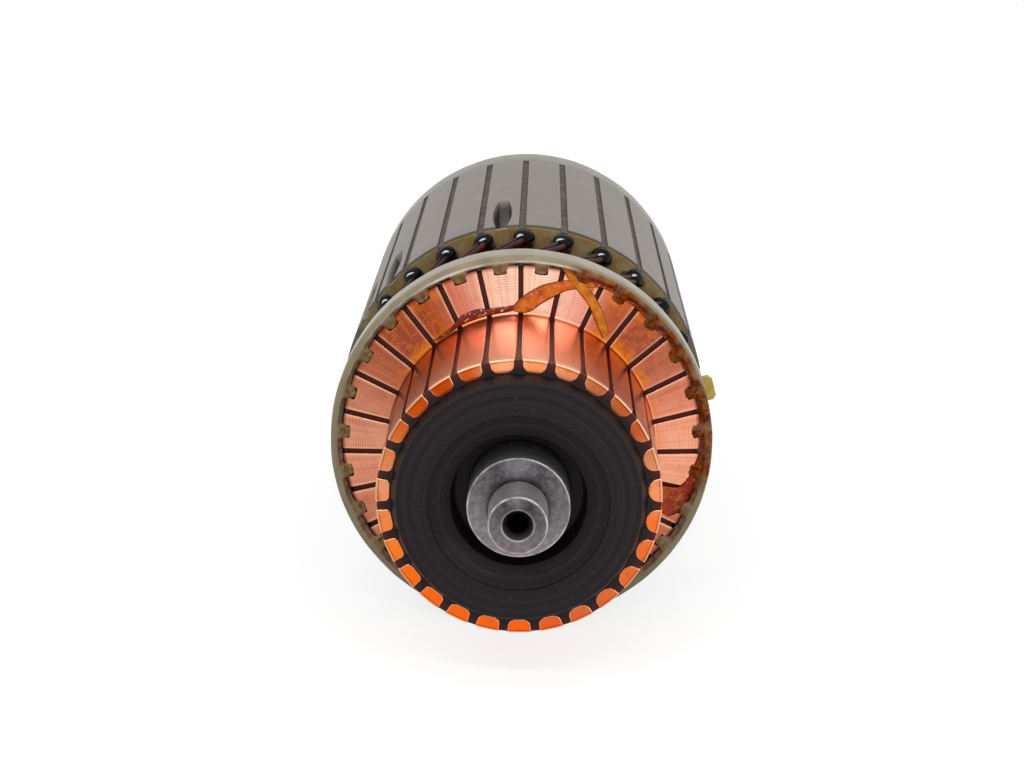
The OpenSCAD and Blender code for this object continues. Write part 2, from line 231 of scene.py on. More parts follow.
def newMaterial(name):
    # a material, the function that adds a node to it, and its shader
    material = bpy.data.materials.new(name)
    material.use_nodes = True
    tree = material.node_tree
    return material, partial(addNode, tree), tree.nodes["Principled BSDF"]


def feed(node, inputs):
    # each input is a number, a hex colour or the socket that feeds it
    for key, value in (inputs.items() if isinstance(inputs, dict) else enumerate(inputs)):
        if isinstance(value, bpy.types.NodeSocket):
            node.id_data.links.new(value, node.inputs[key])
        else:
            node.inputs[key].default_value = linearColour(value) if isinstance(value, str) else value


def addNode(tree, kind, inputs=(), out=0, stops=(), **settings):
    # a node with its settings, its inputs and, on a ramp, its stops; gives back one output
    node = tree.nodes.new("ShaderNode" + kind)
    for key, value in settings.items():
        setattr(node, key, value)
    feed(node, inputs)
    for i, (place, colour) in enumerate(stops):
        elements = node.color_ramp.elements
        element = elements[i] if i < 2 else elements.new(place)
        element.position = place
        element.color = linearColour(colour) if isinstance(colour, str) else [colour] * 3 + [1]
    return node.outputs[out]


mixed = {"out": 2, "data_type": "RGBA"}
plus, times, timesPlus, larger = (
    {"operation": name} for name in ("ADD", "MULTIPLY", "MULTIPLY_ADD", "MAXIMUM"))
radial = {"direction_type": "RADIAL", "axis": "Y"}


def axisPlaces(add):
    # object coordinates, and from them the distance from the axis, the clock angle and the station
    where = add("TexCoord", out=3)
    x, y, z = (add("SeparateXYZ", [where], out=i) for i in range(3))
    squares = [add("Math", [side, side], **times) for side in (x, z)]
    radius = add("Math", [add("Math", squares, **plus)], operation="SQRT")
    return where, (radius, add("Math", [x, z], operation="ARCTAN2"), y)


def aroundAxis(add, axis, acrossScale, clockScale):
    # a vector for patterns that run round the axis: fine across the marks, slow along them
    scales = (acrossScale, clockScale, acrossScale)
    return add("CombineXYZ", [add("Math", [side, scale], **times) for side, scale in zip(axis, scales)])


def byClock(add, axis, tones):
    # a colour for each clock angle, from (degrees, hex) pairs
    share = add("Math", [axis[1], 0.5 / math.pi, 0.5], **timesPlus)
    return add("ValToRGB", [share], stops=[(degrees / 360 + 0.5, colour) for degrees, colour in tones])


# In the look dictionaries, a pattern is its size in millimetres, detail and roughness, and a pattern
# round the axis is its scale across the marks, its scale along them and its detail.

# The copper's tones by clock angle, on the risers' faces, the track and the front ends, hold the light and
# dark that the metal mirrors, because the white surroundings would even it out.
copperLook = {
    "riser": [(-180, "#B87058"), (-113, "#C27E60"), (-98, "#D89074"), (-85, "#D09074"), (-60, "#A86046"),
              (-47, "#9A4E34"), (-33, "#A04A2A"), (-22, "#DC8468"), (-8, "#FFCDB2"), (8, "#FFD4BA"),
              (22, "#F2AA94"), (33, "#B65C3C"), (47, "#A2503A"), (60, "#B06850"), (73, "#D88668"),
              (87, "#EEA484"), (102, "#EEA684"), (120, "#B87058")],
    "track": [(-180, "#B87058"), (-73, "#B47058"), (-60, "#98563C"), (-47, "#A85A3C"), (-33, "#DC8C62"),
              (-20, "#E49E78"), (-7, "#E2987A"), (7, "#FFB090"), (20, "#FFB288"), (33, "#C8763E"),
              (47, "#A85C3C"), (60, "#9C583E"), (73, "#CC8062"), (120, "#B87058")],
    "end": [(-180, "#F46018"), (-127, "#EE6A18"), (-113, "#F07A26"), (-98, "#E88248"), (-85, "#E0906A"),
            (-66, "#D07038"), (-50, "#C04E12"), (-33, "#B2420E"), (-20, "#CA5820"), (-7, "#FFA878"),
            (7, "#F8945C"), (20, "#E38E5C"), (33, "#BC683E"), (50, "#B45A30"), (60, "#C05A30"),
            (73, "#D28458"), (87, "#F09464"), (100, "#F07230"), (127, "#DE6A30"), (150, "#D2663A"),
            (168, "#E05E22"), (179, "#F46018")],
    "lineSpacing": 0.42 * mm, "lineWobble": 9.0, "markDepth": 0.010 * mm,
    "patch": (2.2, 3, 0.5), "cloud": (1.5, 5, 0.62), "scuff": (1.1, 4, 0.5),
    "wobble": (500, 1.4, 2), "chatter": (60, 60, 1), "marks": (1 / (0.09 * mm), 6, 2),
}


def turnedCopper():
    # hard-drawn copper, faced and turned in a lathe: pale pink metal with fine lines round it, redder
    # where it has tarnished and where painted shade darkens the bars either side of the top, orange on the
    # saw-fresh ends, and yellow-brown where thin varnish has dried in the corner; a painted highlight runs
    # along the riser's long edges, and painted shade darkens the notches and the rim under the ring's lip
    look = copperLook
    material, add, shader = newMaterial("turnedCopper")
    where, axis = axisPlaces(add)
    riser, fresh, rim, shade, amber, edge = (add("Attribute", out=2, attribute_name=key)
                                             for key in ("riser", "fresh", "rim", "shade", "amber", "edge"))
    patchy, cloud, scuffed = (
        add("TexNoise", {"Vector": where, "Scale": 1 / (size * mm), "Detail": detail, "Roughness": rough})
        for size, detail, rough in (look["patch"], look["cloud"], look["scuff"]))
    wobble, chatter, marks = (
        add("TexNoise", {"Vector": aroundAxis(add, axis, across, turn), "Scale": 1, "Detail": detail})
        for across, turn, detail in (look["wobble"], look["chatter"], look["marks"]))
    # lines from the tool, 0.42 mm apart so that they show, and fainter radial ones from its chatter
    along = add("Math", [axis[0], axis[2]], **plus)
    wobble = add("Math", [wobble, look["lineWobble"]], **times)
    phase = add("Math", [along, 2 * math.pi / look["lineSpacing"], wobble], **timesPlus)
    wave = add("Math", [add("Math", [phase], operation="SINE"), 0.5, 0.5], **timesPlus)
    onRiser = add("Math", [riser, 0.45, 0.10], **timesPlus)
    lines = add("Math", [add("ValToRGB", [wave], stops=[(0.5, 0.0), (0.95, 1.0)]),
                         add("ValToRGB", [patchy], stops=[(0.35, 0.15), (0.65, 1.0)])], **times)
    lines = add("Math", [lines, onRiser], **times)
    chatter = add("Math", [add("ValToRGB", [chatter], stops=[(0.5, 0.0), (0.66, 1.0)]),
                           add("Math", [onRiser, 0.4], **times)], **times)
    # tarnish in clouds, scaled by the shade attribute, so that it also paints shade on the bars either
    # side of the top; and dried edges of thin varnish as wiggly contours
    tarnishAndShade = add("Math", [add("ValToRGB", [cloud], stops=[(0.54, 0.0), (0.75, 1.0)]),
                           add("Math", [shade, 0.5, 0.08], **timesPlus)], **times)
    contour = add("Math", [add("ValToRGB", [cloud], stops=[(0.45, 0.0), (0.48, 1.0), (0.51, 0.0)]),
                           add("Math", [shade, 0.75], **times)], **times)
    yellow = add("ValToRGB", [cloud], stops=[(0.3, "#A85010"), (0.5, "#E07818"), (0.7, "#C88A28")])
    # saw-fresh ends, a little scuffed
    scuffed = add("ValToRGB", [scuffed], stops=[(0.56, 0.0), (0.7, 0.55)])
    end = add("Mix", {0: scuffed, 6: byClock(add, axis, look["end"]), 7: "#B8582A"}, **mixed)
    colour = byClock(add, axis, look["track"])
    # rim paints the rubbed front rims paler and a painted highlight along the riser's edges; edge is painted
    # shade in the notches and under the ring's lip
    for share, tint, blend in (
            (riser, byClock(add, axis, look["riser"]), "MIX"), (lines, "#C86A58", "MULTIPLY"),
            (chatter, "#C27A62", "MULTIPLY"), (tarnishAndShade, "#8E4226", "MIX"), (contour, "#DE7030", "MIX"),
            (amber, yellow, "MIX"), (fresh, end, "MIX"), (rim, "#F4BE9C", "MIX"), (edge, "#56180E", "MIX")):
        colour = add("Mix", {0: share, 6: colour, 7: tint}, blend_type=blend, **mixed)
    height = add("Math", [wave, 0.5, marks], **timesPlus)
    feed(shader, {"Metallic": 1.0, "Anisotropic": 0.5, "Base Color": colour,
                  "Roughness": add("Math", [patchy, 0.16, 0.24], **timesPlus),
                  "Tangent": add("Tangent", **radial),
                  "Normal": add("Bump", {"Height": height, "Distance": look["markDepth"], "Strength": 0.7})})
    return material


def turnedPhenolic():
    # glass-filled phenolic moulding, faced with the copper: brown-black, semi-gloss, with rings from the
    # tool;
    # the fins in the slits carry a painted reflection of the copper, dark red
    look = {"rings": (1500, 0, 3), "fine": (9000, 3, 2), "ringDepth": 0.006 * mm, "dust": 0.25 * mm}
    material, add, shader = newMaterial("turnedPhenolic")
    where, axis = axisPlaces(add)
    bands, fine = (
        add("TexNoise", {"Vector": aroundAxis(add, axis, across, turn), "Scale": 1, "Detail": detail})
        for across, turn, detail in (look["rings"], look["fine"]))
    dust = add("TexNoise", {"Vector": where, "Scale": 1 / look["dust"], "Detail": 1, "Roughness": 0.3})
    colour = add("ValToRGB", [bands], stops=[(0.3, "#100A0B"), (0.52, "#1B1315"), (0.76, "#2E2426")])
    for share, tint in ((add("ValToRGB", [dust], stops=[(0.74, 0.0), (0.80, 0.3)]), "#8A8582"),
                        # a painted reflection of the copper, dark red, on the fins in the slits
                        (add("Attribute", out=2, attribute_name="slitReflection"), "#541E14")):
        colour = add("Mix", {0: share, 6: colour, 7: tint}, **mixed)
    height = add("Math", [fine, 0.6, bands], **timesPlus)
    feed(shader, {"Specular IOR Level": 0.2, "Base Color": colour,
                  "Roughness": add("Math", [bands, 0.25, 0.3], **timesPlus),
                  "Normal": add("Bump", {"Height": height, "Distance": look["ringDepth"], "Strength": 0.8})})
    return material


def groundSteel():
    # carbon-steel shaft, turned and ground: mid grey, dull on its faces, bright only where its edges are
    # rubbed; its sheen by clock angle holds the light and dark that it mirrors, and painted shade darkens its
    # centre holes, its relief grooves, the root of the front seat and where it runs into the moulding
    look = {"stain": (0.9, 6, 0.75), "rub": (1.6, 4, 0.6), "marks": (9000, 4), "markDepth": 0.005 * mm,
            "sheenShare": 0.55,
            "sheen": [(-180, "#9A8E92"), (-90, "#7C7A7A"), (-50, "#504C4E"), (-28, "#302E32"), (0, "#8A868A"),
                      (28, "#302E32"), (50, "#504C4E"), (90, "#6E6C6C"), (180, "#9A8E92")]}
    material, add, shader = newMaterial("groundSteel")
    where, axis = axisPlaces(add)
    wear, dull, hollowShade = (add("Attribute", out=2, attribute_name=key) for key in ("wear", "dull", "hollowShade"))
    stains, rubbed = (
        add("TexNoise", {"Vector": where, "Scale": 1 / (size * mm), "Detail": detail, "Roughness": rough})
        for size, detail, rough in (look["stain"], look["rub"]))
    fine = add("TexNoise", {"Vector": aroundAxis(add, axis, *look["marks"]), "Scale": 1, "Detail": 3})
    wear = add("Math", [wear, add("MapRange", [rubbed, 0.35, 0.65, 0.1, 1.4])], **times)
    colour = add("ValToRGB", [stains], stops=[(0.34, "#CCCACC"), (0.5, "#DAD8DA"), (0.66, "#E6E4E4")])
    faced = add("ValToRGB", [stains], stops=[(0.36, "#4A4446"), (0.5, "#6E686B"), (0.64, "#9A9498")])
    faced = add("Mix", {0: look["sheenShare"], 6: faced, 7: byClock(add, axis, look["sheen"])}, **mixed)
    # dull faces take the faced colour with its sheen; the last tint is painted shade in the hollows
    for share, tint in ((dull, faced), (wear, "#D6D4D2"), (hollowShade, "#1C1614")):
        colour = add("Mix", {0: share, 6: colour, 7: tint}, **mixed)
    rough = add("Math", [dull, 0.08, add("Math", [stains, 0.14, 0.36], **timesPlus)], **timesPlus)
    feed(shader, {"Metallic": 1.0, "Anisotropic": 0.3, "Base Color": colour, "Roughness": rough,
                  "Tangent": add("Tangent", **radial),
                  "Normal": add("Bump", {"Height": fine, "Distance": look["markDepth"], "Strength": 0.8})})
    return material


def laminatedSteel():
    # stack of 0.5 mm silicon-steel sheets, ground round and lacquered: warm grey satin with fine lines
    # round it, and painted shade that darkens it down in the slots and pockets
    look = {"sheet": 0.5 * mm, "lineDepth": 0.012 * mm, "cloud": 9.0 * mm, "streaks": (160, 55, 4),
            "rings": (1400, 1.5, 3), "darkFrom": 0.15, "darkTo": 0.9}
    material, add, shader = newMaterial("laminatedSteel")
    where, axis = axisPlaces(add)
    sheet = add("Math", [add("Math", [axis[2], 2 * math.pi / look["sheet"]], **times)], operation="SINE")
    streaks, rings = (
        add("TexNoise", {"Vector": aroundAxis(add, axis, across, turn), "Scale": 1, "Detail": detail})
        for across, turn, detail in (look["streaks"], look["rings"]))
    clouds = add("TexNoise", {"Vector": where, "Scale": 1 / look["cloud"], "Detail": 4, "Roughness": 0.6})
    depths = ((coreR - look["darkTo"]) * mm, (coreR - look["darkFrom"]) * mm)
    colour = add("ValToRGB", [clouds], stops=[(0.3, "#766F67"), (0.55, "#867E75"), (0.8, "#968E84")])
    for share, tint in ((add("Math", [streaks, 0.4], **times), "#7A736A"),
                        (add("ValToRGB", [rings], stops=[(0.5, 0.0), (0.7, 0.35)]), "#6E6760"),
                        # painted shade, deeper below the core's outer radius
                        (add("MapRange", [axis[0], *depths, 0.85, 0.0]), "#2E2A2A")):
        colour = add("Mix", {0: share, 6: colour, 7: tint}, **mixed)
    height = add("Math", [sheet, 0.4, streaks], **timesPlus)
    feed(shader, {"Metallic": 0.5, "Specular IOR Level": 0.15, "Base Color": colour,
                  "Roughness": add("Math", [clouds, 0.15, 0.36], **timesPlus),
                  "Normal": add("Bump", {"Height": height, "Distance": look["lineDepth"], "Strength": 0.5})})
    return material


def cloudyResin(name, light, dark):
    # cast epoxy over glass tape: cloudy grey-green with a glossy skin, brown where thin varnish has
    # soaked its lip, and painted glints wherever a piece sets them: on the front ring, over the slits and
    # along its front near the top
    look = {"cloud": (3.5, 4, 0.55), "drop": (0.7, 3, 0.6), "streaks": (900, 4), "depth": 0.08 * mm}
    material, add, shader = newMaterial(name)
    where, axis = axisPlaces(add)
    clouds, drops = (
        add("TexNoise", {"Vector": where, "Scale": 1 / (size * mm), "Detail": detail, "Roughness": rough})
        for size, detail, rough in (look["cloud"], look["drop"]))
    streaks = add("TexNoise", {"Vector": aroundAxis(add, axis, *look["streaks"]), "Scale": 1, "Detail": 3})
    stain, lobe, resinGlint = (add("Attribute", out=2, attribute_name=key) for key in ("stain", "lobe", "resinGlint"))
    colour, olive, brown = (add("ValToRGB", [pattern], stops=stops) for pattern, stops in (
        (clouds, [(0.3, dark), (0.7, light)]),
        (drops, [(0.3, "#4E2E12"), (0.5, "#86703A"), (0.7, "#B0A878")]),
        (drops, [(0.3, "#2A0E04"), (0.45, "#6A3008"), (0.6, "#964C08"), (0.75, "#8C6018")])))
    for share, tint in ((add("Math", [streaks, 0.35], **times), light), (lobe, olive), (stain, brown),
                        (resinGlint, "#F6F4EC")):
        colour = add("Mix", {0: share, 6: colour, 7: tint}, **mixed)
    height = add("Math", [streaks, 0.6, add("Math", [drops, 0.4, clouds], **timesPlus)], **timesPlus)
    feed(shader, {"Roughness": 0.28, "Specular IOR Level": 0.13, "Coat Weight": 0.04, "Coat Roughness": 0.04,
                  "Base Color": colour,
                  "Normal": add("Bump", {"Height": height, "Distance": look["depth"], "Strength": 0.6})})
    return material


def amberVarnish():
    # alkyd dipping varnish, run and baked: clear glossy orange, yellower in the strand, red-brown at its
    # thin edges, with painted glints on its wrinkles and on the tops of its bubbles
    look = {"cloud": (1.4, 4, 0.6), "wrinkle": (0.45, 2, 0.5), "bubble": 0.6 * mm, "depth": 0.1 * mm}
    material, add, shader = newMaterial("amberVarnish")
    where = add("TexCoord", out=3)
    clouds, wrinkles = (
        add("TexNoise", {"Vector": where, "Scale": 1 / (size * mm), "Detail": detail, "Roughness": rough})
        for size, detail, rough in (look["cloud"], look["wrinkle"]))
    bubbles = add("TexVoronoi", {"Vector": where, "Scale": 1 / look["bubble"]})
    tone, thin, glintStrength = (add("Attribute", out=2, attribute_name=key) for key in ("tone", "thin", "glintStrength"))
    colour, redder, yellower, wrinkleGlints = (add("ValToRGB", [pattern], stops=stops) for pattern, stops in (
        (tone, [(0.0, "#E68E14"), (0.3, "#DC5E0A"), (0.65, "#A82806"), (1.0, "#420A06")]),
        (clouds, [(0.48, 0.0), (0.66, 0.6)]), (clouds, [(0.3, 0.55), (0.46, 0.0)]),
        (wrinkles, [(0.6, 0.0), (0.68, 1.0)])))
    # the last tint is a painted glint on the wrinkles
    for share, tint in ((redder, "#8E2C06"), (yellower, "#F0A62C"), (thin, "#6E1E06"),
                        (add("Math", [wrinkleGlints, glintStrength], **times), "#F6DED6")):
        colour = add("Mix", {0: share, 6: colour, 7: tint}, **mixed)
    height = add("Math", [clouds, 1.5, bubbles], **timesPlus)
    feed(shader, {"Roughness": 0.12, "IOR": 1.45, "Transmission Weight": 0.1, "Specular IOR Level": 0.12,
                  "Coat Weight": 0.1, "Coat Roughness": 0.04, "Base Color": colour,
                  "Normal": add("Bump", {"Height": height, "Distance": look["depth"], "Strength": 0.8})})
    return material


def bakedSkin(name, light, dark, cloud, depth, rough, specular, glint=None):
    # enamel, varnish or lacquer baked on: mottled colour under a skin of its own gloss; a glint is an
    # attribute's name and the colour of a painted highlight where its value is high
    material, add, shader = newMaterial(name)
    where = add("TexCoord", out=3)
    clouds = add("TexNoise", {"Vector": where, "Scale": 1 / (cloud * mm), "Detail": 5, "Roughness": 0.6})
    colour = add("ValToRGB", [clouds], stops=[(0.32, dark), (0.68, light)])
    if glint:
        share = add("MapRange", [add("Attribute", out=2, attribute_name=glint[0]), 0.42, 0.72, 0.0, 1.0])
        colour = add("Mix", {0: share, 6: colour, 7: glint[1]}, **mixed)
    feed(shader, {"Base Color": colour, "Roughness": rough, "Specular IOR Level": specular,
                  "Normal": add("Bump", {"Height": clouds, "Distance": depth * mm, "Strength": 0.6})})
    return material


copper = turnedCopper()
phenolic = turnedPhenolic()
steel = groundSteel()
coreSteel = laminatedSteel()
frontResin = cloudyResin("greyResin", "#A69B80", "#887E66")
rearResin = cloudyResin("paleResin", "#7C7A68", "#646252")
varnish = amberVarnish()
# polyester-imide enamel on copper wire, varnished over: dark maroon with a wet shine
leadEnamel = bakedSkin("leadEnamel", "#4C1210", "#1E0608", 2.2, 0.12, 0.28, 0.06)
headEnamel = bakedSkin("headEnamel", "#7A2E18", "#3E160C", 2.2, 0.12, 0.3, 0.25)
# folded liner ends drowned in varnish: black with a teal cast, each with one short bright glint
foldVarnish = bakedSkin("blackVarnish", "#0E1814", "#040404", 1.2, 0.03, 0.06, 0.06, ("foldGlint", "#E8EEEA"))
# fish-paper and fibre board, lacquered: olive plates, dull grey-brown wedges, tan sleeve, dark green liners
oliveCoat = bakedSkin("oliveCoat", "#9A8E66", "#86683C", 2.2, 0.05, 0.4, 0.2)
wedgeCoat = bakedSkin("wedgeCoat", "#746E64", "#4E4A42", 2.0, 0.05, 0.7, 0.06)
sleeveCoat = bakedSkin("sleeveCoat", "#8A7850", "#6A5A38", 3.0, 0.03, 0.5, 0.3)
linerPaper = bakedSkin("linerPaper", "#46503E", "#2A3228", 1.5, 0.04, 0.5, 0.3)
# polyester film: pale yellow, satin
yellowFilm = bakedSkin("yellowFilm", "#E0CA6C", "#BCA248", 1.2, 0.05, 0.45, 0.3)
print("stage: materials made")

# commutator bars

bars = {
    "depth": 2.0,            # copper that shows at the front end
    "slit": 0.7,
    "flare": 0.2, "flareLong": 4.5,    # the slits open a little towards the front end
    "riserThick": 4.7,
    "rake": 1.6,             # the riser's face leans back to its edge
    "fillet": 0.6,
    "edge": 0.13,            # rounding of the long edges
    "endRim": 0.2,           # rubbed rim of the front end
    # corners of the inner end: squarer on the left, rounder on the right
    "corner": 1.12, "cornerSwing": 0.4, "cornerTurn": 10,
    "notchWide": 1.9, "notchDeep": 1.3, "notchCorner": 0.4,
    "darkAt": 46, "darkWide": 17,      # clock angle, on both sides, round which painted shade darkens the bars
}
halfPitch = math.radians(pitch / 2)
barInR = trackR - bars["depth"]
riserFront = riserBack - bars["riserThick"]
filletR = trackR + bars["fillet"]
riserEdge = riserFront + bars["rake"]


def barHalfWidth(y, inset=0.0):
    return y * math.tan(halfPitch) - bars["slit"] / 2 / math.cos(halfPitch) - inset


def barCorner(clock):
    return bars["corner"] + bars["cornerSwing"] * math.sin(math.radians(clock + bars["cornerTurn"]))


def slitFlare(station):
    # how much each side of a slit opens towards the front end: a parabola over its length
    return bars["flare"] * np.clip(1 - (station - barFront) / bars["flareLong"], 0, 1) ** 2


def faceStation(radius):
    # where the riser's face stands at a radius: the fillet's arc, then a straight lean to the edge
    dip = np.maximum(filletR - radius, 0)
    arc = bars["fillet"] - np.sqrt(np.maximum(bars["fillet"] ** 2 - dip ** 2, 0))
    return riserFront - arc + bars["rake"] * np.maximum(radius - filletR, 0) / (riserR - filletR)


def barStations():
    # rows of station, outer radius, inset of the outline, how far the edges fall back, and the slit's opening
    rim = bars["endRim"]
    begin = 0.28
    rows = [[barFront, trackR - 0.22, rim, 0], [barFront + 0.04, trackR - 0.11, 0.09, 0],
            [barFront + 0.12, trackR - 0.03, 0.03, 0], [barFront + begin, trackR, 0, 0]]
    rows += [[barFront + begin + t * (bars["flareLong"] - begin), trackR, 0, 0] for t in (0.3, 0.65, 1.0)]
    rows += [[t, trackR, 0, 0] for t in np.linspace(barFront + 6, riserFront - 2.0, 4)]
    rows += [[riserFront - bars["fillet"] * (1 - math.sin(a)), filletR + bars["fillet"] * math.cos(a), 0, 0.5]
             for a in np.radians(np.linspace(180, 90, 6))]
    rows += [[float(faceStation(r)), r, 0, 1] for r in np.linspace(filletR + 0.5, riserR - 0.1, 12)]
    rows += [[riserEdge + 0.1, riserR - 0.02, 0, 0], [riserEdge + 0.2, riserR, 0, 0],
             [riserBack - 0.1, riserR, 0, 0], [riserBack, riserR - 0.1, 0.05, 0]]
    rows = np.array(rows)
    return np.column_stack([rows, slitFlare(rows[:, 0])])


def barGrid(clock):
    # the bar's section across the shaft, an inner end with round corners, straight sides and an arc with
    # a notch, carried along stations whose outer radius steps from the track up the riser
    edge = bars["edge"]
    rows = barStations()
    station, outer, inset, fallback, flare = (rows[:, i:i + 1] for i in range(5))
    corner = np.minimum(barCorner(clock) - inset, outer - edge - 0.05 - barInR - inset)
    centreY = barInR + inset + corner
    centreX = barHalfWidth(centreY, inset + flare) - corner
    turn = np.radians(np.linspace(-90, 0, 9))[None]
    cornerX, cornerY = centreX + corner * np.cos(turn), centreY + corner * np.sin(turn)
    topY = np.maximum(outer - edge, centreY + 0.02)
    sideY = centreY + (topY - centreY) * np.array([[0.4, 0.8, 1.0]])
    reach = barHalfWidth(outer, inset + flare)
    half = bars["notchWide"] / 2
    share = np.array([[0.0, 0.25, 0.5, 0.75]])
    outside = half + 0.01 + share * (reach - edge - half - 0.01)
    nearEdge = reach - edge + edge * np.array([[0.0, 0.4, 0.7, 0.9, 1.0]])
    inside = np.repeat(np.linspace(0, half - 0.01, 8)[None], len(rows), 0)
    acrossX = np.concatenate([inside, outside, nearEdge], 1)[:, ::-1]
    drop = edge - np.sqrt(np.maximum(edge ** 2 - np.maximum(acrossX - (reach - edge), 0) ** 2, 0))
    acrossY = np.sqrt(outer ** 2 - acrossX ** 2) - drop * (1 - fallback)
    bend = bars["notchCorner"]
    fromBend = np.maximum(acrossX - (half - bend), 0)
    floor = riserR - bars["notchDeep"] + bend - np.sqrt(np.maximum(bend ** 2 - fromBend ** 2, 0))
    acrossY = np.where(acrossX < half, np.minimum(acrossY, floor), acrossY)
    sideX = barHalfWidth(sideY, inset + flare)
    x = np.concatenate([cornerX, sideX, acrossX], 1)
    y = np.concatenate([cornerY, sideY, acrossY], 1)
    back = np.concatenate([0 * cornerX, 0 * sideX, drop * fallback * 1.6], 1)
    x, y, back = (np.concatenate([part, sign * part[:, ::-1]], 1)
                  for part, sign in ((x, -1), (y, 1), (back, 1)))
    # where a painted highlight runs along the riser's long edges beside the slits
    nearRim = acrossX > reach - edge * 1.3
    edgeGlint = np.concatenate([0 * cornerX, 0 * sideX[:, 1:], 0 * station + 0.6, nearRim], 1)
    edgeGlint = np.concatenate([edgeGlint, edgeGlint[:, ::-1]], 1) * fallback
    inNotch = (acrossX < half) & (outer > riserR - bars["notchDeep"] + 0.05)
    inNotch = np.concatenate([0 * cornerX, 0 * sideX, inNotch], 1)
    inNotch = np.concatenate([inNotch, inNotch[:, ::-1]], 1)
    return sectionPoints(clock, x, y, station + back), rows, edgeGlint, inNotch


# dried varnish on the copper: clock, millimetres up the riser (minus: forward on the track), their
# widths, strength
amberPlaces = [
    (-46, 0.5, 13, 0.7, 0.75), (-24, 0.2, 8, 0.5, 0.6), (-33, 2.4, 3, 1.6, 0.15), (-29, 6.0, 2.5, 0.7, 0.5),
    (-39, 6.0, 3, 0.6, 0.4), (36, 0.3, 6, 0.8, 0.7), (47, 0.7, 7, 1.0, 0.8), (61, 0.7, 5, 0.8, 0.7),
    (24, 6.3, 4, 0.6, 0.8), (74, 0.6, 5, 0.5, 0.45), (88, 0.7, 7, 0.5, 0.5), (33, 5.6, 3, 0.9, 0.6),
    (42, 6.2, 4, 0.8, 0.6), (33, -1.2, 4, 1.2, 0.5), (-10, 0.0, 9, 0.3, 0.5), (5, 0.2, 9, 0.4, 0.6),
    (120, 2.0, 7, 3.0, 0.5),
]


def makeBars():
    parts, values = [], {key: [] for key in ("riser", "fresh", "rim", "shade", "amber", "edge")}
    for i in range(barCount):
        middle = (i + 0.5) * pitch
        grid, rows, edgeGlint, inNotch = barGrid(middle)
        parts.append(closedTube(grid))
        station, level = rows[:, :1] + 0 * edgeGlint, np.hypot(grid[:, :, 0], grid[:, :, 2])
        clock = np.degrees(np.arctan2(grid[:, :, 0], grid[:, :, 2]))
        climb = (level - trackR) + np.minimum(station - riserFront, 0)
        tint = sum(power * bump(wrapped(clock - at), 0, wide) * bump(climb, up, tall)
                   for at, up, wide, tall, power in amberPlaces)
        atFront, ahead = station < barFront + 0.02, station - barFront
        # painted shade: bars round darkAt either side of the top are painted darker, and their edge highlight
        # is fainter
        dark = bump(abs(wrapped(middle)), bars["darkAt"], bars["darkWide"])
        values["riser"].append(np.clip((climb + 0.3) / 0.5, 0, 1))
        values["fresh"].append(atFront * 1.0)
        frontRim = (ahead > 0.02) & (ahead < 0.2)
        # pale on the rubbed front rim, and a painted highlight along the riser's long edges
        values["rim"].append(np.clip(frontRim * 0.7 + edgeGlint * 0.55 * (1 - dark * 0.5), 0, 1))
        # shade: a random tone for each bar, plus the painted shade round darkAt
        values["shade"].append(0 * station + randomDraws.uniform(0, 0.25) + 0.75 * dark)
        values["amber"].append(np.clip(tint, 0, 0.9) * (station > barFront + 1))
        # painted shade: dark on the riser's outer rim under the ring's lip, and inside each notch
        values["edge"].append(np.clip((level - riserR + 0.42) / 0.3 + inNotch, 0, 1) * 0.85)
    values = {key: np.concatenate([part.reshape(-1) for part in column]) for key, column in values.items()}
    return makePiece("copperBars", joined(parts), copper, barNames, sharp=32, values=values)


makeBars()
print("stage: bars made")

# moulding

moulding = {
    "rim": 2.1, "rise": 0.6, "stepR": 12.3, "drop": 0.25, "dish": 1.5, "recessR": 9.2, "recess": 5.0,
    "bevel": 0.8, "undercut": 0.5,      # how far the fins stay below the copper
}


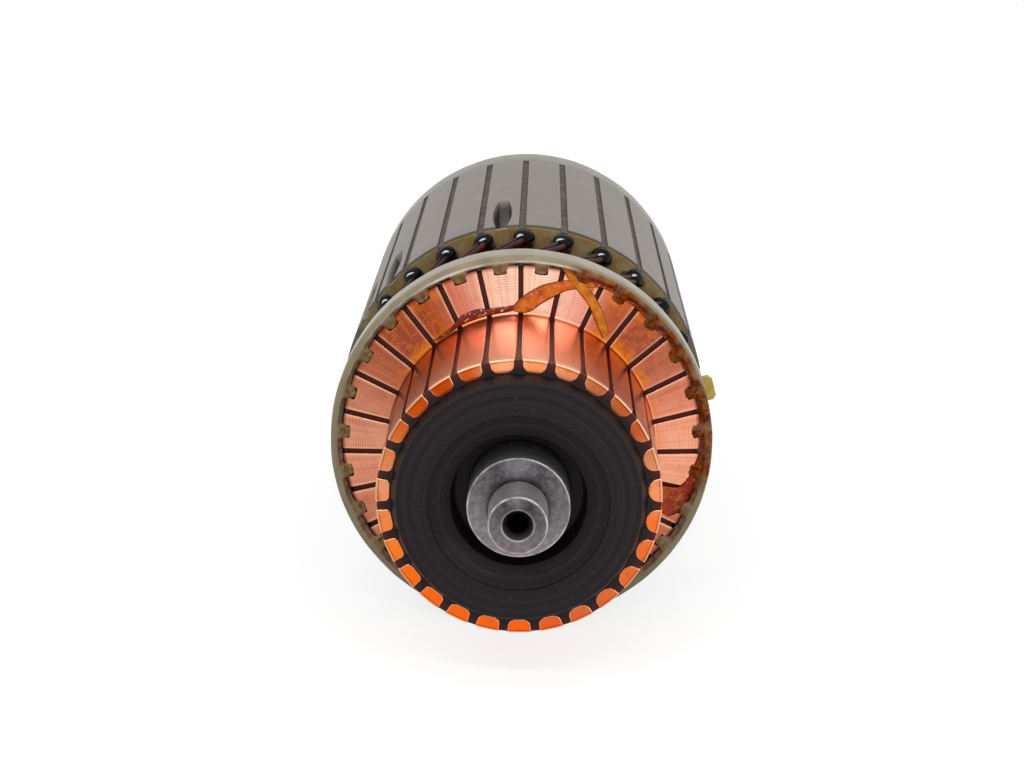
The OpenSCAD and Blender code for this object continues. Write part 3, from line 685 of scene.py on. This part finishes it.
def makeMoulding():
    # a turned body inside the bars' inner ends, and a fin of the same stuff in each slit, as wide as the
    # gap there
    m = moulding
    bodyR = barInR - 0.03
    rim = barFront - m["rim"]
    step = rim - m["rise"]
    dish = step + m["drop"]
    lip = dish + m["dish"]
    profile = rounded([
        [shaftR + 0.02, lip + m["recess"]], [m["recessR"], lip + m["recess"]], [m["recessR"], lip],
        [m["stepR"], dish], [m["stepR"], step], [bodyR - m["bevel"], rim], [bodyR, barFront],
        [bodyR, riserBack], [bodyR - m["bevel"], riserBack], [bodyR - m["bevel"], bossBack],
        [shaftR + 0.02, bossBack],
    ], [0.1, 0.6, 0.35, 0.1, 0.12, 0.3, 0.05, 0.0, 0.1, 0.3, 0.1])
    body = closedRing(turned(profile, 360))
    parts, slitReflection = [body], [np.zeros(len(body[0]))]
    sunk = m["undercut"]
    top, riserTop = trackR - sunk, riserR - sunk
    rows = np.array([[barFront + 0.03, trackR - 0.4], [barFront + 0.15, trackR - 0.16],
                     [barFront + 0.9, trackR - 0.2], [barFront + 2.0, top], [barFront + 4.5, top],
                     [riserFront - 0.4, top], [riserFront + sunk, top + 0.6]]
                    + [[float(faceStation(r)) + sunk, r] for r in np.linspace(filletR + 0.8, riserTop, 6)]
                    + [[riserBack, riserTop]])
    station, outer = rows[:, :1], rows[:, 1:2]
    flare = slitFlare(station)
    share = np.array([[0.0, 0.06, 0.15, 0.3, 0.5, 0.75, 1.0]])
    for i in range(barCount):
        clock = i * pitch
        corner = (barCorner(clock - pitch / 2) + barCorner(clock + pitch / 2)) / 2
        y = barInR + corner * share + 0 * station
        dip = np.maximum(barInR + corner - y, 0)
        x = bars["slit"] / 2 + flare + corner - np.sqrt(np.maximum(corner ** 2 - dip ** 2, 0)) + 0.01
        y = np.concatenate([0 * station + barInR - 0.3, y, outer], 1)
        x = np.concatenate([x[:, :1], x, 0 * station + bars["slit"] / 2 + flare + 0.01], 1)
        x, y = np.concatenate([x, -x[:, ::-1]], 1), np.concatenate([y, y[:, ::-1]], 1)
        parts.append(closedTube(sectionPoints(clock, x, y, station)))
        # each fin takes the painted reflection of the copper walls more towards its top
        slitReflection.append((np.clip((y - barInR - 0.4) / 0.8, 0, 1) * 0.75).reshape(-1))
    return makePiece("phenolicMoulding", joined(parts), phenolic, ["commutator_moulding"],
                     sharp=35, values={"slitReflection": np.concatenate(slitReflection)})


makeMoulding()
print("stage: moulding made")

# shaft

shaftForm = {
    "seatR": mounts["front_bearing_seat"]["dims"]["r_mm"], "seatLong": 7.5,
    "rearR": mounts["rear_bearing_seat"]["dims"]["r_mm"], "rearLong": 10.0,
    "driveR": mounts["drive_end"]["dims"]["r_mm"], "driveLong": 18.0,
    "chamfer": 0.2, "relief": 0.2, "reliefWide": 0.8,
    "centreR": 2.1, "drillR": 1.25, "coneDeep": 0.9, "drillDeep": 6.5, "steps": 192,
}


def makeShaft():
    # one profile of radius, station, wear, dullness and painted shade, from the bottom of the front centre
    # hole to the bottom of the rear one, carried round the axis
    s = shaftForm
    shoulder = shaftFront + s["seatLong"]
    drive = shaftBack - s["driveLong"]
    rear = drive - s["rearLong"]
    c, seatR, rearR, driveR = s["chamfer"], s["seatR"], s["rearR"], s["driveR"]
    neck, groove = seatR - s["relief"], shoulder - s["reliefWide"]
    relieved, drillR, centreR = rearR - s["relief"], s["drillR"], s["centreR"]
    hole = [[0.02, s["drillDeep"] + 0.7, 0, 0, 1], [drillR * 0.6, s["drillDeep"] + 0.35, 0, 0, 1],
            [drillR, s["drillDeep"], 0, 0, 1], [drillR, s["coneDeep"], 0, 0, 1],
            [drillR + 0.08, s["coneDeep"] - 0.1, 0, 0.5, 1], [centreR - 0.12, 0.18, 0, 0.5, 0.93],
            [centreR, 0.05, 0.1, 0.5, 0.5], [centreR + 0.1, 0.0, 0.25, 1, 0.15],
            [centreR + 0.24, 0.0, 0, 1, 0.3]]
    tip = [[seatR - c - 0.2, 0, 0, 1, 0.24], [seatR - c - 0.06, 0.02, 0.1, 0.95, 0.05],
           [seatR - c, 0.04, 0.5, 1, 0], [seatR - 0.05, c - 0.06, 0.5, 0.9, 0],
           [seatR, c + 0.08, 0.1, 0.3, 0], [seatR, c + 0.5, 0, 0, 0]]
    rows = [[r, shaftFront + z, *rest] for r, z, *rest in hole + tip] + [
        [seatR, groove - 0.03, 0, 0, 0], [seatR - 0.03, groove + 0.03, 0.3, 0.3, 0],
        [neck, groove + s["relief"], 0, 1, 0.3], [neck, shoulder - 0.3, 0, 1, 0.75],
        [neck + 0.08, shoulder - 0.08, 0, 1, 0.85], [seatR + 0.12, shoulder, 0, 1, 0.7],
        [seatR + 0.5, shoulder, 0, 1, 0.25], [seatR + 1.3, shoulder, 0, 1, 0],
        [shaftR - 0.35, shoulder, 0, 1, 0], [shaftR - 0.18, shoulder + 0.01, 0.3, 1, 0],
        [shaftR - 0.05, shoulder + 0.07, 0.7, 0.8, 0], [shaftR, shoulder + 0.2, 0.2, 0.2, 0],
        [shaftR, shoulder + 0.8, 0, 0, 0], [shaftR, shoulder + 3, 0, 0, 0.35], [shaftR, rear - c, 0, 0, 0],
        [shaftR - c, rear, 0.4, 1, 0], [relieved, rear, 0, 1, 0.3],
        [relieved, rear + s["reliefWide"] - s["relief"], 0, 1, 0.3],
        [rearR, rear + s["reliefWide"], 0.3, 0, 0],
        [rearR, drive - c, 0.2, 0, 0], [rearR - c, drive, 0.3, 1, 0], [driveR, drive, 0, 1, 0],
        [driveR, shaftBack - c, 0, 0, 0], [driveR - c, shaftBack, 0.4, 0.6, 0],
    ] + [[r, shaftBack - z, *rest] for r, z, *rest in hole[::-1]]
    profile = np.array(rows)
    grid = turned(profile[:, :2], s["steps"]).transpose(1, 0, 2)
    values = {key: np.repeat(profile[:, i + 2], s["steps"]) for i, key in enumerate(("wear", "dull", "hollowShade"))}
    return makePiece("turnedShaft", closedTube(grid), steel, ["shaft"], sharp=30,
                     values=values)


makeShaft()
print("stage: shaft made")

# resin rings

frontRing = {
    "round": 0.8, "backRound": 0.5, "slope": 0.6, "points": 1350,
    "lobe": 1.33, "lobeWide": 2.25,      # resin that has run down into each notch
    "arch": 0.32, "archWide": 1.2,        # and drawn back at each slit
    "stainFrom": 12, "stainTo": 107, "stainR": 28.02,    # where thin varnish has soaked the lip
}


def makeFrontRing():
    # a section carried round the risers: an uneven lip on their raked faces, a slope up to the front, a
    # round edge and a plain back; the lip dips into every notch and arches over every slit
    f = frontRing
    count = f["points"]
    clock = np.linspace(0, 360, count, endpoint=False)
    away = clock % pitch - pitch / 2
    index = (clock // pitch).astype(int)
    draws = np.random.default_rng(8)
    size, shift, wide = (draws.uniform(low, high, barCount)[index]
                         for low, high in ((0.9, 1.04), (-0.3, 0.3), (0.9, 1.1)))
    lobe = np.exp(-((away - shift) / (f["lobeWide"] * wide)) ** 6)
    arch = bump(np.abs(away), pitch / 2, f["archWide"])
    inStain = np.clip((clock - f["stainFrom"]) / 8, 0, 1) * np.clip((f["stainTo"] - clock) / 6, 0, 1)
    rough = smoothNoise(count, [5, 13, 29, 47, 71, 97], 4)
    lip = riserR + 0.04 - f["lobe"] * size * lobe + f["arch"] * arch * (1 - inStain) + 0.07 * rough
    lip = lip - inStain * 0.3 * (1 + 0.4 * smoothNoise(count, [11, 23, 37], 6))
    lipStation = faceStation(lip) - 0.05 + 0.14 * lobe
    top = riserR + f["slope"] + 0.06 * smoothNoise(count, [4, 9, 15], 13)
    front = ringFront + 0.03 + 0.05 * smoothNoise(count, [4, 9, 23], 12)
    outer = ringR - 0.01 - 0.05 * np.abs(smoothNoise(count, [2, 5, 9, 17], 9))
    b, back = f["round"], f["backRound"]
    columns = [(lip, lipStation + 0.1 + 2.0 * lobe), (lip, lipStation + 0.06), (lip + 0.03, lipStation),
               (lip + 0.09, lipStation - 0.05)]
    for t in (0.15, 0.35, 0.6, 0.8, 0.93):
        rise = t * t * (3 - 2 * t)
        columns.append((lip + 0.09 + (top - lip - 0.09) * t,
                        lipStation - 0.05 + (front - lipStation + 0.05) * rise))
    columns += [(top, front)]
    columns += [(outer - b + b * math.cos(a), front + b + b * math.sin(a))
                for a in np.radians(np.linspace(-88, 0, 8))]
    columns += [(outer - back + back * math.cos(a), ringBack - back + back * math.sin(a))
                for a in np.radians(np.linspace(0, 90, 6))]
    columns += [(riserR + 0.02, ringBack), (riserR + 0.02, lipStation + 0.3 + 2.0 * lobe)]
    radius, station = (np.stack([column[i] + 0 * lip for column in columns], 1) for i in (0, 1))
    late = np.clip((clock - 70) / 8, 0, 1) * inStain
    inward = np.clip((f["stainR"] - radius) / 0.4 + 1.6 * late[:, None], 0, 1)
    slope = np.arange(len(columns))[None]
    streak = np.clip(0.9 + 0.25 * smoothNoise(count, [17, 41, 63, 88], 21), 0.6, 1)
    nearTop = bump(wrapped(clock), -10, 55)
    browner = 0.3 + 0.7 / (1 + np.exp(-(away + 0.2) / 0.35))
    # painted glints: over each slit's arch near the top, and a line along the front near the top
    glint = (arch * nearTop)[:, None] * ((slope > 2) & (slope < 10)) * 0.9
    browGlint = nearTop * bump(smoothNoise(count, [2, 3, 7], 17), 0.4, 0.6)
    glint = glint + browGlint[:, None] * np.isin(slope, (9, 10)) * 0.75
    fade = np.array([1, 1, 1, 1, 1, 0.95, 0.8, 0.5, 0.2] + [0] * (len(columns) - 9))
    values = {"stain": (inStain * streak)[:, None] * inward, "lobe": (lobe * browner)[:, None] * fade,
              "resinGlint": np.clip(glint, 0, 1) * (1 - inStain)[:, None]}
    return makePiece("frontRing", closedRing(clockPoints(clock[:, None], radius, station)), frontResin,
                     ["front_ring"], sharp=60,
                     values={key: (part + 0 * radius).reshape(-1) for key, part in values.items()})


rearRing = {"points": 540, "thick": 1.4, "corners": [0.05, 0.05, 0.7, 0.5], "uneven": 0.05}


def makeRearRing():
    # a rounded rectangle carried round the axis behind the core, its edge a little uneven
    count, inR = rearRing["points"], coreR - rearRing["thick"]
    clock = np.linspace(0, 360, count, endpoint=False)
    wave = rearRing["uneven"] * smoothNoise(count, [2, 5, 9, 14], 33)
    profile = rounded([[inR, coreBack], [coreR, coreBack], [coreR, rearRingBack], [inR, rearRingBack]],
                      rearRing["corners"], 6)
    outside = profile[None, :, 0] > coreR - rearRing["corners"][2]
    radius = profile[None, :, 0] + np.where(outside, np.minimum(wave, 0)[:, None], 0)
    grid = clockPoints(clock[:, None], radius, profile[None, :, 1] + 0 * radius)
    return makePiece("rearRing", closedRing(grid), rearResin, ["rear_ring"])


makeFrontRing()
makeRearRing()
print("stage: resin rings made")

# varnish that has run over the risers: each run has two edges, as clock and radius on the raked faces

varnishRuns = {
    # per run: tone, spread of tone, the strength of its painted glints, the dome's height and its two edges
    "strand": {"tone": 0.05, "spread": 0.0, "glintStrength": 0.12, "height": 0.34,
               "left": [(12.1, 26.9), (15.4, 25.5), (20.3, 24.1), (25.4, 22.9), (29.6, 21.5),
                        (34.1, 20.4), (36.6, 19.8)],
               "right": [(14.2, 27.3), (17.2, 26.5), (21.8, 25.5), (26.5, 24.4), (30.4, 23.3),
                         (34.2, 22.1), (37.2, 21.0)]},
    "wedge": {"tone": 0.24, "spread": 0.08, "glintStrength": 0.25, "height": 0.24,
              "left": [(26.2, 25.9), (20.7, 24.7), (16.1, 23.8), (13.4, 22.9), (10.6, 22.0), (7.6, 21.1),
                       (4.9, 20.2), (2.4, 19.8), (-0.7, 19.8), (-2.9, 20.1)],
              "right": [(25.4, 26.5), (19.0, 25.8), (14.3, 25.1), (11.2, 24.6), (7.2, 23.9), (3.0, 22.8),
                        (-0.2, 21.9), (-1.6, 21.4), (-2.7, 21.0), (-3.2, 20.8)]},
    "rivulet": {"tone": 0.92, "spread": 0.1, "glintStrength": 0.9, "height": 0.24,
                "left": [(-2.5, 20.2), (-6, 19.95), (-12, 19.9), (-18, 19.9), (-24, 19.9), (-30, 19.8),
                         (-36, 19.8), (-40, 20.0)],
                "right": [(-2.5, 21.0), (-6, 20.8), (-12, 20.9), (-18, 21.3), (-24, 21.2), (-30, 20.3),
                          (-36, 20.2), (-40, 20.3)]},
    "lipRun": {"tone": 0.36, "spread": 0.2, "glintStrength": 0.45, "height": 0.2,
               "left": [(23.0, 26.4), (24.5, 25.6), (26.2, 25.9), (31.5, 26.2), (36.1, 26.3),
                        (42.8, 26.0), (49.1, 25.8), (53.7, 26.2)],
               "right": [(23.0, 26.7), (24.5, 26.8), (26.2, 26.9), (31.5, 26.9), (36.1, 26.9),
                         (42.8, 26.9), (49.1, 26.9), (53.7, 26.7)]},
    "sidePatch": {"tone": 0.38, "spread": 0.36, "glintStrength": 0.15, "height": 0.3,
                  "left": [(94, 26.4), (97, 25.9), (101, 25.6), (104, 25.0), (106.8, 24.2), (107.6, 20.4),
                           (110, 20.2), (113, 20.3), (115.5, 21.5), (117.5, 23.6)],
                  "right": [(94, 26.9), (97, 26.9), (101, 26.9), (104, 26.9), (106.8, 26.8),
                            (108.5, 26.7), (111.5, 26.5), (114, 26.1), (116.5, 25.4), (118, 24.6)]},
}


varnishForm = {
    "steps": 60, "sides": 16,
    # clock angle, radius and size of each bubble
    "bubbles": [(108.5, 21.2, 0.2), (110.5, 22.0, 0.26), (112, 23.2, 0.22), (109.5, 23.6, 0.3),
                (111.5, 24.6, 0.2), (108.6, 25.2, 0.22), (113.5, 24.4, 0.16), (103, 26.2, 0.3),
                (98, 26.5, 0.22), (110, 21.0, 0.14), (30, 26.5, 0.2), (34, 26.6, 0.16), (27.5, 26.2, 0.2),
                (24.2, 25.2, 0.16), (40, 26.5, 0.22), (50, 26.4, 0.2)],
}


def facePoints(clock, radius, lift):
    # a point on the raked face, raised along its normal
    lean = math.atan2(bars["rake"], riserR - filletR)
    return clockPoints(clock, radius + lift * math.sin(lean), faceStation(radius) - lift * math.cos(lean))


def varnishRun(left, right, height, seed):
    # a low dome between two curves: the section is the upper half of a squashed circle with a thin sunk
    # underside
    s = np.linspace(0, 1, varnishForm["steps"])
    left, right = (
        np.stack([np.interp(s, np.linspace(0, 1, len(edge)), np.array(edge)[:, i]) for i in (0, 1)], -1)
        for edge in (left, right))
    for edge in (left, right):
        edge[1:-1] = (edge[:-2] + 2 * edge[1:-1] + edge[2:]) / 4
    draws = np.random.default_rng(seed)
    waver = sum(np.sin(s * k + draws.uniform(0, 6)) for k in (11, 23, 37)) / 3
    turn = np.linspace(0, 2 * np.pi, varnishForm["sides"], endpoint=False)[None]
    share = 0.5 + 0.5 * np.cos(turn)
    ends = np.minimum(1, np.minimum(s, 1 - s) / 0.05)[:, None] ** 0.5
    clock = left[:, :1] * (1 - share) + right[:, :1] * share
    radius = left[:, 1:] * (1 - share) + right[:, 1:] * share + 0.05 * waver[:, None] * np.sin(turn) ** 2
    dome = np.abs(np.sin(turn)) ** 0.7 * height * (1 + 0.25 * waver[:, None]) * ends
    lift = np.where(np.sin(turn) > 0, dome, 0.1 * np.sin(turn))
    thin = np.clip((np.abs(np.cos(turn)) - 0.72) / 0.25, 0, 0.75) + 0 * clock
    return facePoints(clock, radius, lift), (radius - 23) / 3 + 0.5 * waver[:, None], thin


def makeVarnish():
    parts, values = [], {"tone": [], "thin": [], "glintStrength": []}
    for i, run in enumerate(varnishRuns.values()):
        grid, climb, thin = varnishRun(run["left"], run["right"], run["height"], 60 + i)
        parts.append(closedTube(grid))
        values["tone"].append(np.clip(run["tone"] + run["spread"] * climb, 0, 1).reshape(-1))
        values["thin"].append(thin.reshape(-1))
        # a painted glint on the wrinkles of each run's thick middle
        values["glintStrength"].append(run["glintStrength"] * (thin == 0).reshape(-1))
    # bubbles: small domes on the thick places
    draws = np.random.default_rng(5)
    rise = np.radians(np.linspace(-40, 84, 6))[:, None]
    turn = np.radians(np.linspace(0, 360, 10, endpoint=False))[None]
    for clock, radius, size in varnishForm["bubbles"]:
        across, up = size * np.cos(rise) * np.cos(turn), size * np.cos(rise) * np.sin(turn)
        grid = facePoints(clock + np.degrees(across / radius), radius + up, 0.16 + size * 0.8 * np.sin(rise))
        parts.append(closedTube(grid))
        values["tone"].append(np.full(grid.shape[0] * grid.shape[1], draws.uniform(0.1, 0.6)))
        values["thin"].append(0 * values["tone"][-1])
        # a painted glint on the top of each bubble
        values["glintStrength"].append((0 * across + (rise > 0.9) * 0.9).reshape(-1))
    return makePiece("varnishRuns", joined(parts), varnish, sharp=70,
                     values={key: np.concatenate(part) for key, part in values.items()})


makeVarnish()
print("stage: varnish made")

# leads and folds

leads = {"wire": 0.95, "shift": 1.5, "sag": 0.35, "steps": 22, "sides": 12}
foldForm = {"wide": 3.5, "tall": 2.6, "margin": 0.3}


def tubeAlong(path, radius, sides):
    # rings of points round a path: each ring stands square to the path's direction
    path = np.asarray(path, float)
    ahead = np.gradient(path, axis=0)
    ahead /= np.linalg.norm(ahead, axis=1, keepdims=True)
    outward = path * np.array([1.0, 0.0, 1.0])
    outward /= np.maximum(np.linalg.norm(outward, axis=1, keepdims=True), 1e-9)
    outward -= ahead * np.sum(ahead * outward, 1, keepdims=True)
    outward /= np.maximum(np.linalg.norm(outward, axis=1, keepdims=True), 1e-9)
    beside = np.cross(ahead, outward)
    turn = np.linspace(0, 2 * np.pi, sides, endpoint=False)
    upright, sideways = np.sin(turn)[None, :, None], np.cos(turn)[None, :, None]
    return path[:, None] + radius * (outward[:, None] * upright + beside[:, None] * sideways)


def leadPath(clock, side, seed):
    # from the notch, straight back, round by the shift in one smooth turn, and up into the fold at its slot
    s = np.linspace(0, 1, leads["steps"])
    startR = riserR - leads["wire"] / 2 - 0.05
    endR = coreR - foldForm["margin"] - foldForm["tall"] / 2
    wander = np.random.default_rng(seed).uniform(-1, 1, 3)
    angle = clock + leads["shift"] * pitch * (s * s * (3 - 2 * s)) + wander[0] * 0.8 * np.sin(np.pi * s)
    radius = startR + (endR - startR) * s - leads["sag"] * np.sin(np.pi * s)
    radius = radius + wander[1] * 0.12 * np.sin(2 * np.pi * s)
    start = riserEdge + 0.7
    station = start + (plateFront - start) * s
    # 57.3 degrees to a radian
    gap = side * (leads["wire"] / 2 + 0.03) / radius * 57.3 * (1 + 0.25 * np.sin(np.pi * s) ** 2)
    return clockPoints(angle + gap, radius, station)


def makeLeads():
    paths = [leadPath((i + 0.5) * pitch, side, 40 + i) for i in range(barCount) for side in (-1, 1)]
    parts = [closedTube(tubeAlong(path, leads["wire"] / 2, leads["sides"])) for path in paths]
    return makePiece("coilLeads", joined(parts), leadEnamel, ["coil_leads"])


def makeFolds():
    # a bulb at each slot mouth: an oval section that swells from the plate and closes at its nose; its
    # glint is a short crescent, a hill in the angle round the nose times a hill along it
    parts, foldGlint = [], []
    long = plateFront - foldFront + 0.6
    s = np.sin(np.linspace(0, np.pi / 2, 14))
    swell = np.sqrt(np.clip(1 - np.maximum(s - 0.15, 0) ** 2 / 0.85 ** 2, 0.0005, 1))
    swell = swell * (0.86 + 0.14 * np.sin(np.pi * np.minimum(s / 0.7, 1)))
    turn = np.linspace(0, 2 * np.pi, 18, endpoint=False)
    for i in range(barCount):
        draws = np.random.default_rng(300 + i)
        wide = foldForm["wide"] / 2 * draws.uniform(0.88, 1.05)
        tall = foldForm["tall"] / 2 * draws.uniform(0.9, 1.05)
        clock = i * pitch + 0.5 + s * draws.uniform(-0.9, 0.7)
        radius = coreR - foldForm["margin"] - tall - 0.3 * s
        lump = 1 + 0.08 * np.sin(3 * turn + draws.uniform(0, 6))[None] * np.sin(np.pi * s)[:, None]
        x = wide * swell[:, None] * np.cos(turn)[None] * lump
        y = radius[:, None] + tall * swell[:, None] * np.sin(turn)[None] * lump
        station = plateFront + 0.02 - long * s[:, None] * draws.uniform(0.9, 1.0)
        parts.append(closedTube(sectionPoints(clock[:, None], x, y, station)))
        around = turn - math.radians(wrapped(i * pitch)) - math.radians(draws.uniform(100, 125))
        around = (around + np.pi) % (2 * np.pi) - np.pi
        glint = bump(around, 0, 0.9)[None] * bump(s, draws.uniform(0.68, 0.74), 0.075)[:, None]
        foldGlint.append(glint.reshape(-1))
    return makePiece("linerFolds", joined(parts), foldVarnish, ["liner_folds"], sharp=60,
                     values={"foldGlint": np.concatenate(foldGlint)})


makeLeads()
makeFolds()
print("stage: leads and folds made")

# coil heads

heads = {
    "wires": 7, "wire": 0.85, "steps": 26, "sides": 7,
    "crown": 0.55, "stray": 0.12,      # how far the middle of a bunch stands up, and how far a wire strays
    "bodySunk": 1.1, "bodyAround": 216, "bodyAcross": 18,
}


def headSection(s, inR, outR, length, lean):
    # rounded section of a coil head from its outer foot, over the top, to its inner foot
    t = np.pi * s
    mid, half = (inR + outR) / 2, (outR - inR) / 2
    z = length * np.sin(t) ** 0.6
    side = half * np.sign(np.cos(t)) * np.abs(np.cos(t)) ** 0.7
    return np.maximum(inR, mid + side - lean * z / length * (1 + np.cos(t)) / 2), z


def makeHeads(name, node, foot, direction, inR, outR, length, lean, swirl, seed):
    # a dark body and, on it, the crossing coils: flat bunches of wires that turn as they pass over the head
    h = heads
    parts = []
    s = np.linspace(0, 1, h["bodyAcross"])
    r, z = headSection(s, inR + 0.3, outR - h["bodySunk"], length - h["bodySunk"], lean)
    clock = np.linspace(0, 360, h["bodyAround"], endpoint=False)[:, None]
    parts.append(closedRing(clockPoints(clock, r[None], (foot + direction * z)[None])))
    s = np.linspace(0.0, 1.0, h["steps"])
    for i in range(barCount):
        draws = np.random.default_rng(seed + i)
        for w in range(h["wires"]):
            across = (w - (h["wires"] - 1) / 2) / h["wires"]
            lift = h["crown"] * (1 - (2 * across) ** 2) + draws.uniform(-h["stray"], h["stray"])
            r, z = headSection(s, inR + 0.1, outR - 0.9 + lift, length - 0.95 + lift, lean)
            clock = (i + across * 1.02) * pitch + swirl * s + draws.uniform(-0.5, 0.5) * np.sin(np.pi * s)
            path = clockPoints(clock, r, foot + direction * (0.3 + z))
            parts.append(closedTube(tubeAlong(path, h["wire"] / 2, h["sides"])))
    return makePiece(name, joined(parts), headEnamel, [node], sharp=70)


for name, node, foot, direction, outR, length, lean, seed in (
        ("rearCoilHeads", "rear_coil_heads", rearFoot, 1, rearHeadR, rearTop - rearFoot, 4, 500),
        ("frontCoilHeads", "front_coil_heads", headFoot, -1, frontHeadR, headFoot - headFront, 2, 900)):
    makeHeads(name, node, foot, direction, sleeveR + 0.3, outR, length, lean, 60, seed)
print("stage: coil heads made")

# CAD pieces that stay

for node, material in {
        "lamination_stack": coreSteel, "front_end_plate": oliveCoat, "rear_end_plate": oliveCoat,
        "slot_wedges": wedgeCoat, "slot_liners": linerPaper, "slot_bundles": headEnamel,
        "shaft_sleeve": sleeveCoat, "insulation_tab": yellowFilm}.items():
    mesh = frame["nodes"][node].data
    mesh.materials.clear()
    mesh.materials.append(material)
print("stage: materials on the carried-over nodes")

# floor, light and camera

stage = {
    "floorSize": 6.0,
    "floorLit": 0.35,        # what the floor gives back of the light that falls on it
    "floorGlow": 0.78,       # added for the camera and reflections: a white floor that keeps its shadow
    "roomLight": 0.66,       # the white room, as surfaces feel it; the camera and reflections see 1
    "lampAim": (0, 0.04, 0),
    "key": {"place": (-0.12, -0.55, 0.62), "wide": 0.8, "tall": 0.035, "power": 2.0},
    "fill": {"place": (0.60, -0.45, 0.25), "wide": 0.12, "tall": 0.5, "power": 1.0},
    "cameraPlace": (3.79, -273.02, 91.49), "down": 15.054, "left": 0.903, "roll": 0.184, "lens": 76.5,
}


def seenDirectly(add):
    # 1 for the camera and for reflections and refractions, 0 for the light that surfaces take
    camera, glossy, through = (
        add("LightPath", out=name) for name in ("Is Camera Ray", "Is Glossy Ray", "Is Transmission Ray"))
    return add("Math", [add("Math", [camera, glossy], **larger), through], **larger)


def makeFloor():
    size, drop = stage["floorSize"], cadBox[0].z
    mesh = bpy.data.meshes.new("floor")
    corners = [(-size, -size, drop), (size, -size, drop), (size, size, drop), (-size, size, drop)]
    mesh.from_pydata(corners, [], [[0, 1, 2, 3]])
    floor = bpy.data.objects.new("floor", mesh)
    bpy.context.scene.collection.objects.link(floor)
    material, add, shader = newMaterial("whiteTable")
    glow = add("Math", [seenDirectly(add), stage["floorGlow"]], **times)
    feed(shader, {"Base Color": [stage["floorLit"]] * 3 + [1], "Roughness": 1.0, "Specular IOR Level": 0.0,
                  "Emission Color": "#FFFFFF", "Emission Strength": glow})
    mesh.materials.append(material)


def makeWorld():
    world = bpy.data.worlds.new("whiteRoom")
    bpy.context.scene.world = world
    world.use_nodes = True
    add = partial(addNode, world.node_tree)
    level = add("Math", [seenDirectly(add), 1 - stage["roomLight"], stage["roomLight"]], **timesPlus)
    feed(world.node_tree.nodes["Background"], {"Color": "#FFFFFF", "Strength": level})


def addLamp(name):
    form = stage[name]
    data = bpy.data.lights.new(name, "AREA")
    data.shape, data.size, data.size_y, data.energy = "RECTANGLE", form["wide"], form["tall"], form["power"]
    lamp = bpy.data.objects.new(name, data)
    lamp.location = form["place"]
    aim = Vector(stage["lampAim"]) - Vector(form["place"])
    lamp.rotation_euler = aim.to_track_quat("-Z", "Y").to_euler()
    lamp.visible_camera = False
    bpy.context.scene.collection.objects.link(lamp)


def makeCamera():
    data = bpy.data.cameras.new("camera")
    data.lens, data.sensor_width, data.clip_start, data.clip_end = stage["lens"], 36.0, 0.01, 50.0
    camera = bpy.data.objects.new("camera", data)
    camera.location = Vector(stage["cameraPlace"]) * mm
    angles = (90 - stage["down"], stage["roll"], stage["left"])
    camera.rotation_euler = Euler([math.radians(angle) for angle in angles], "XYZ")
    bpy.context.scene.collection.objects.link(camera)
    bpy.context.scene.camera = camera


makeFloor()
makeWorld()
addLamp("key")
addLamp("fill")
makeCamera()
bpy.context.scene.view_settings.view_transform = "Standard"
print("stage: floor, light and camera made")
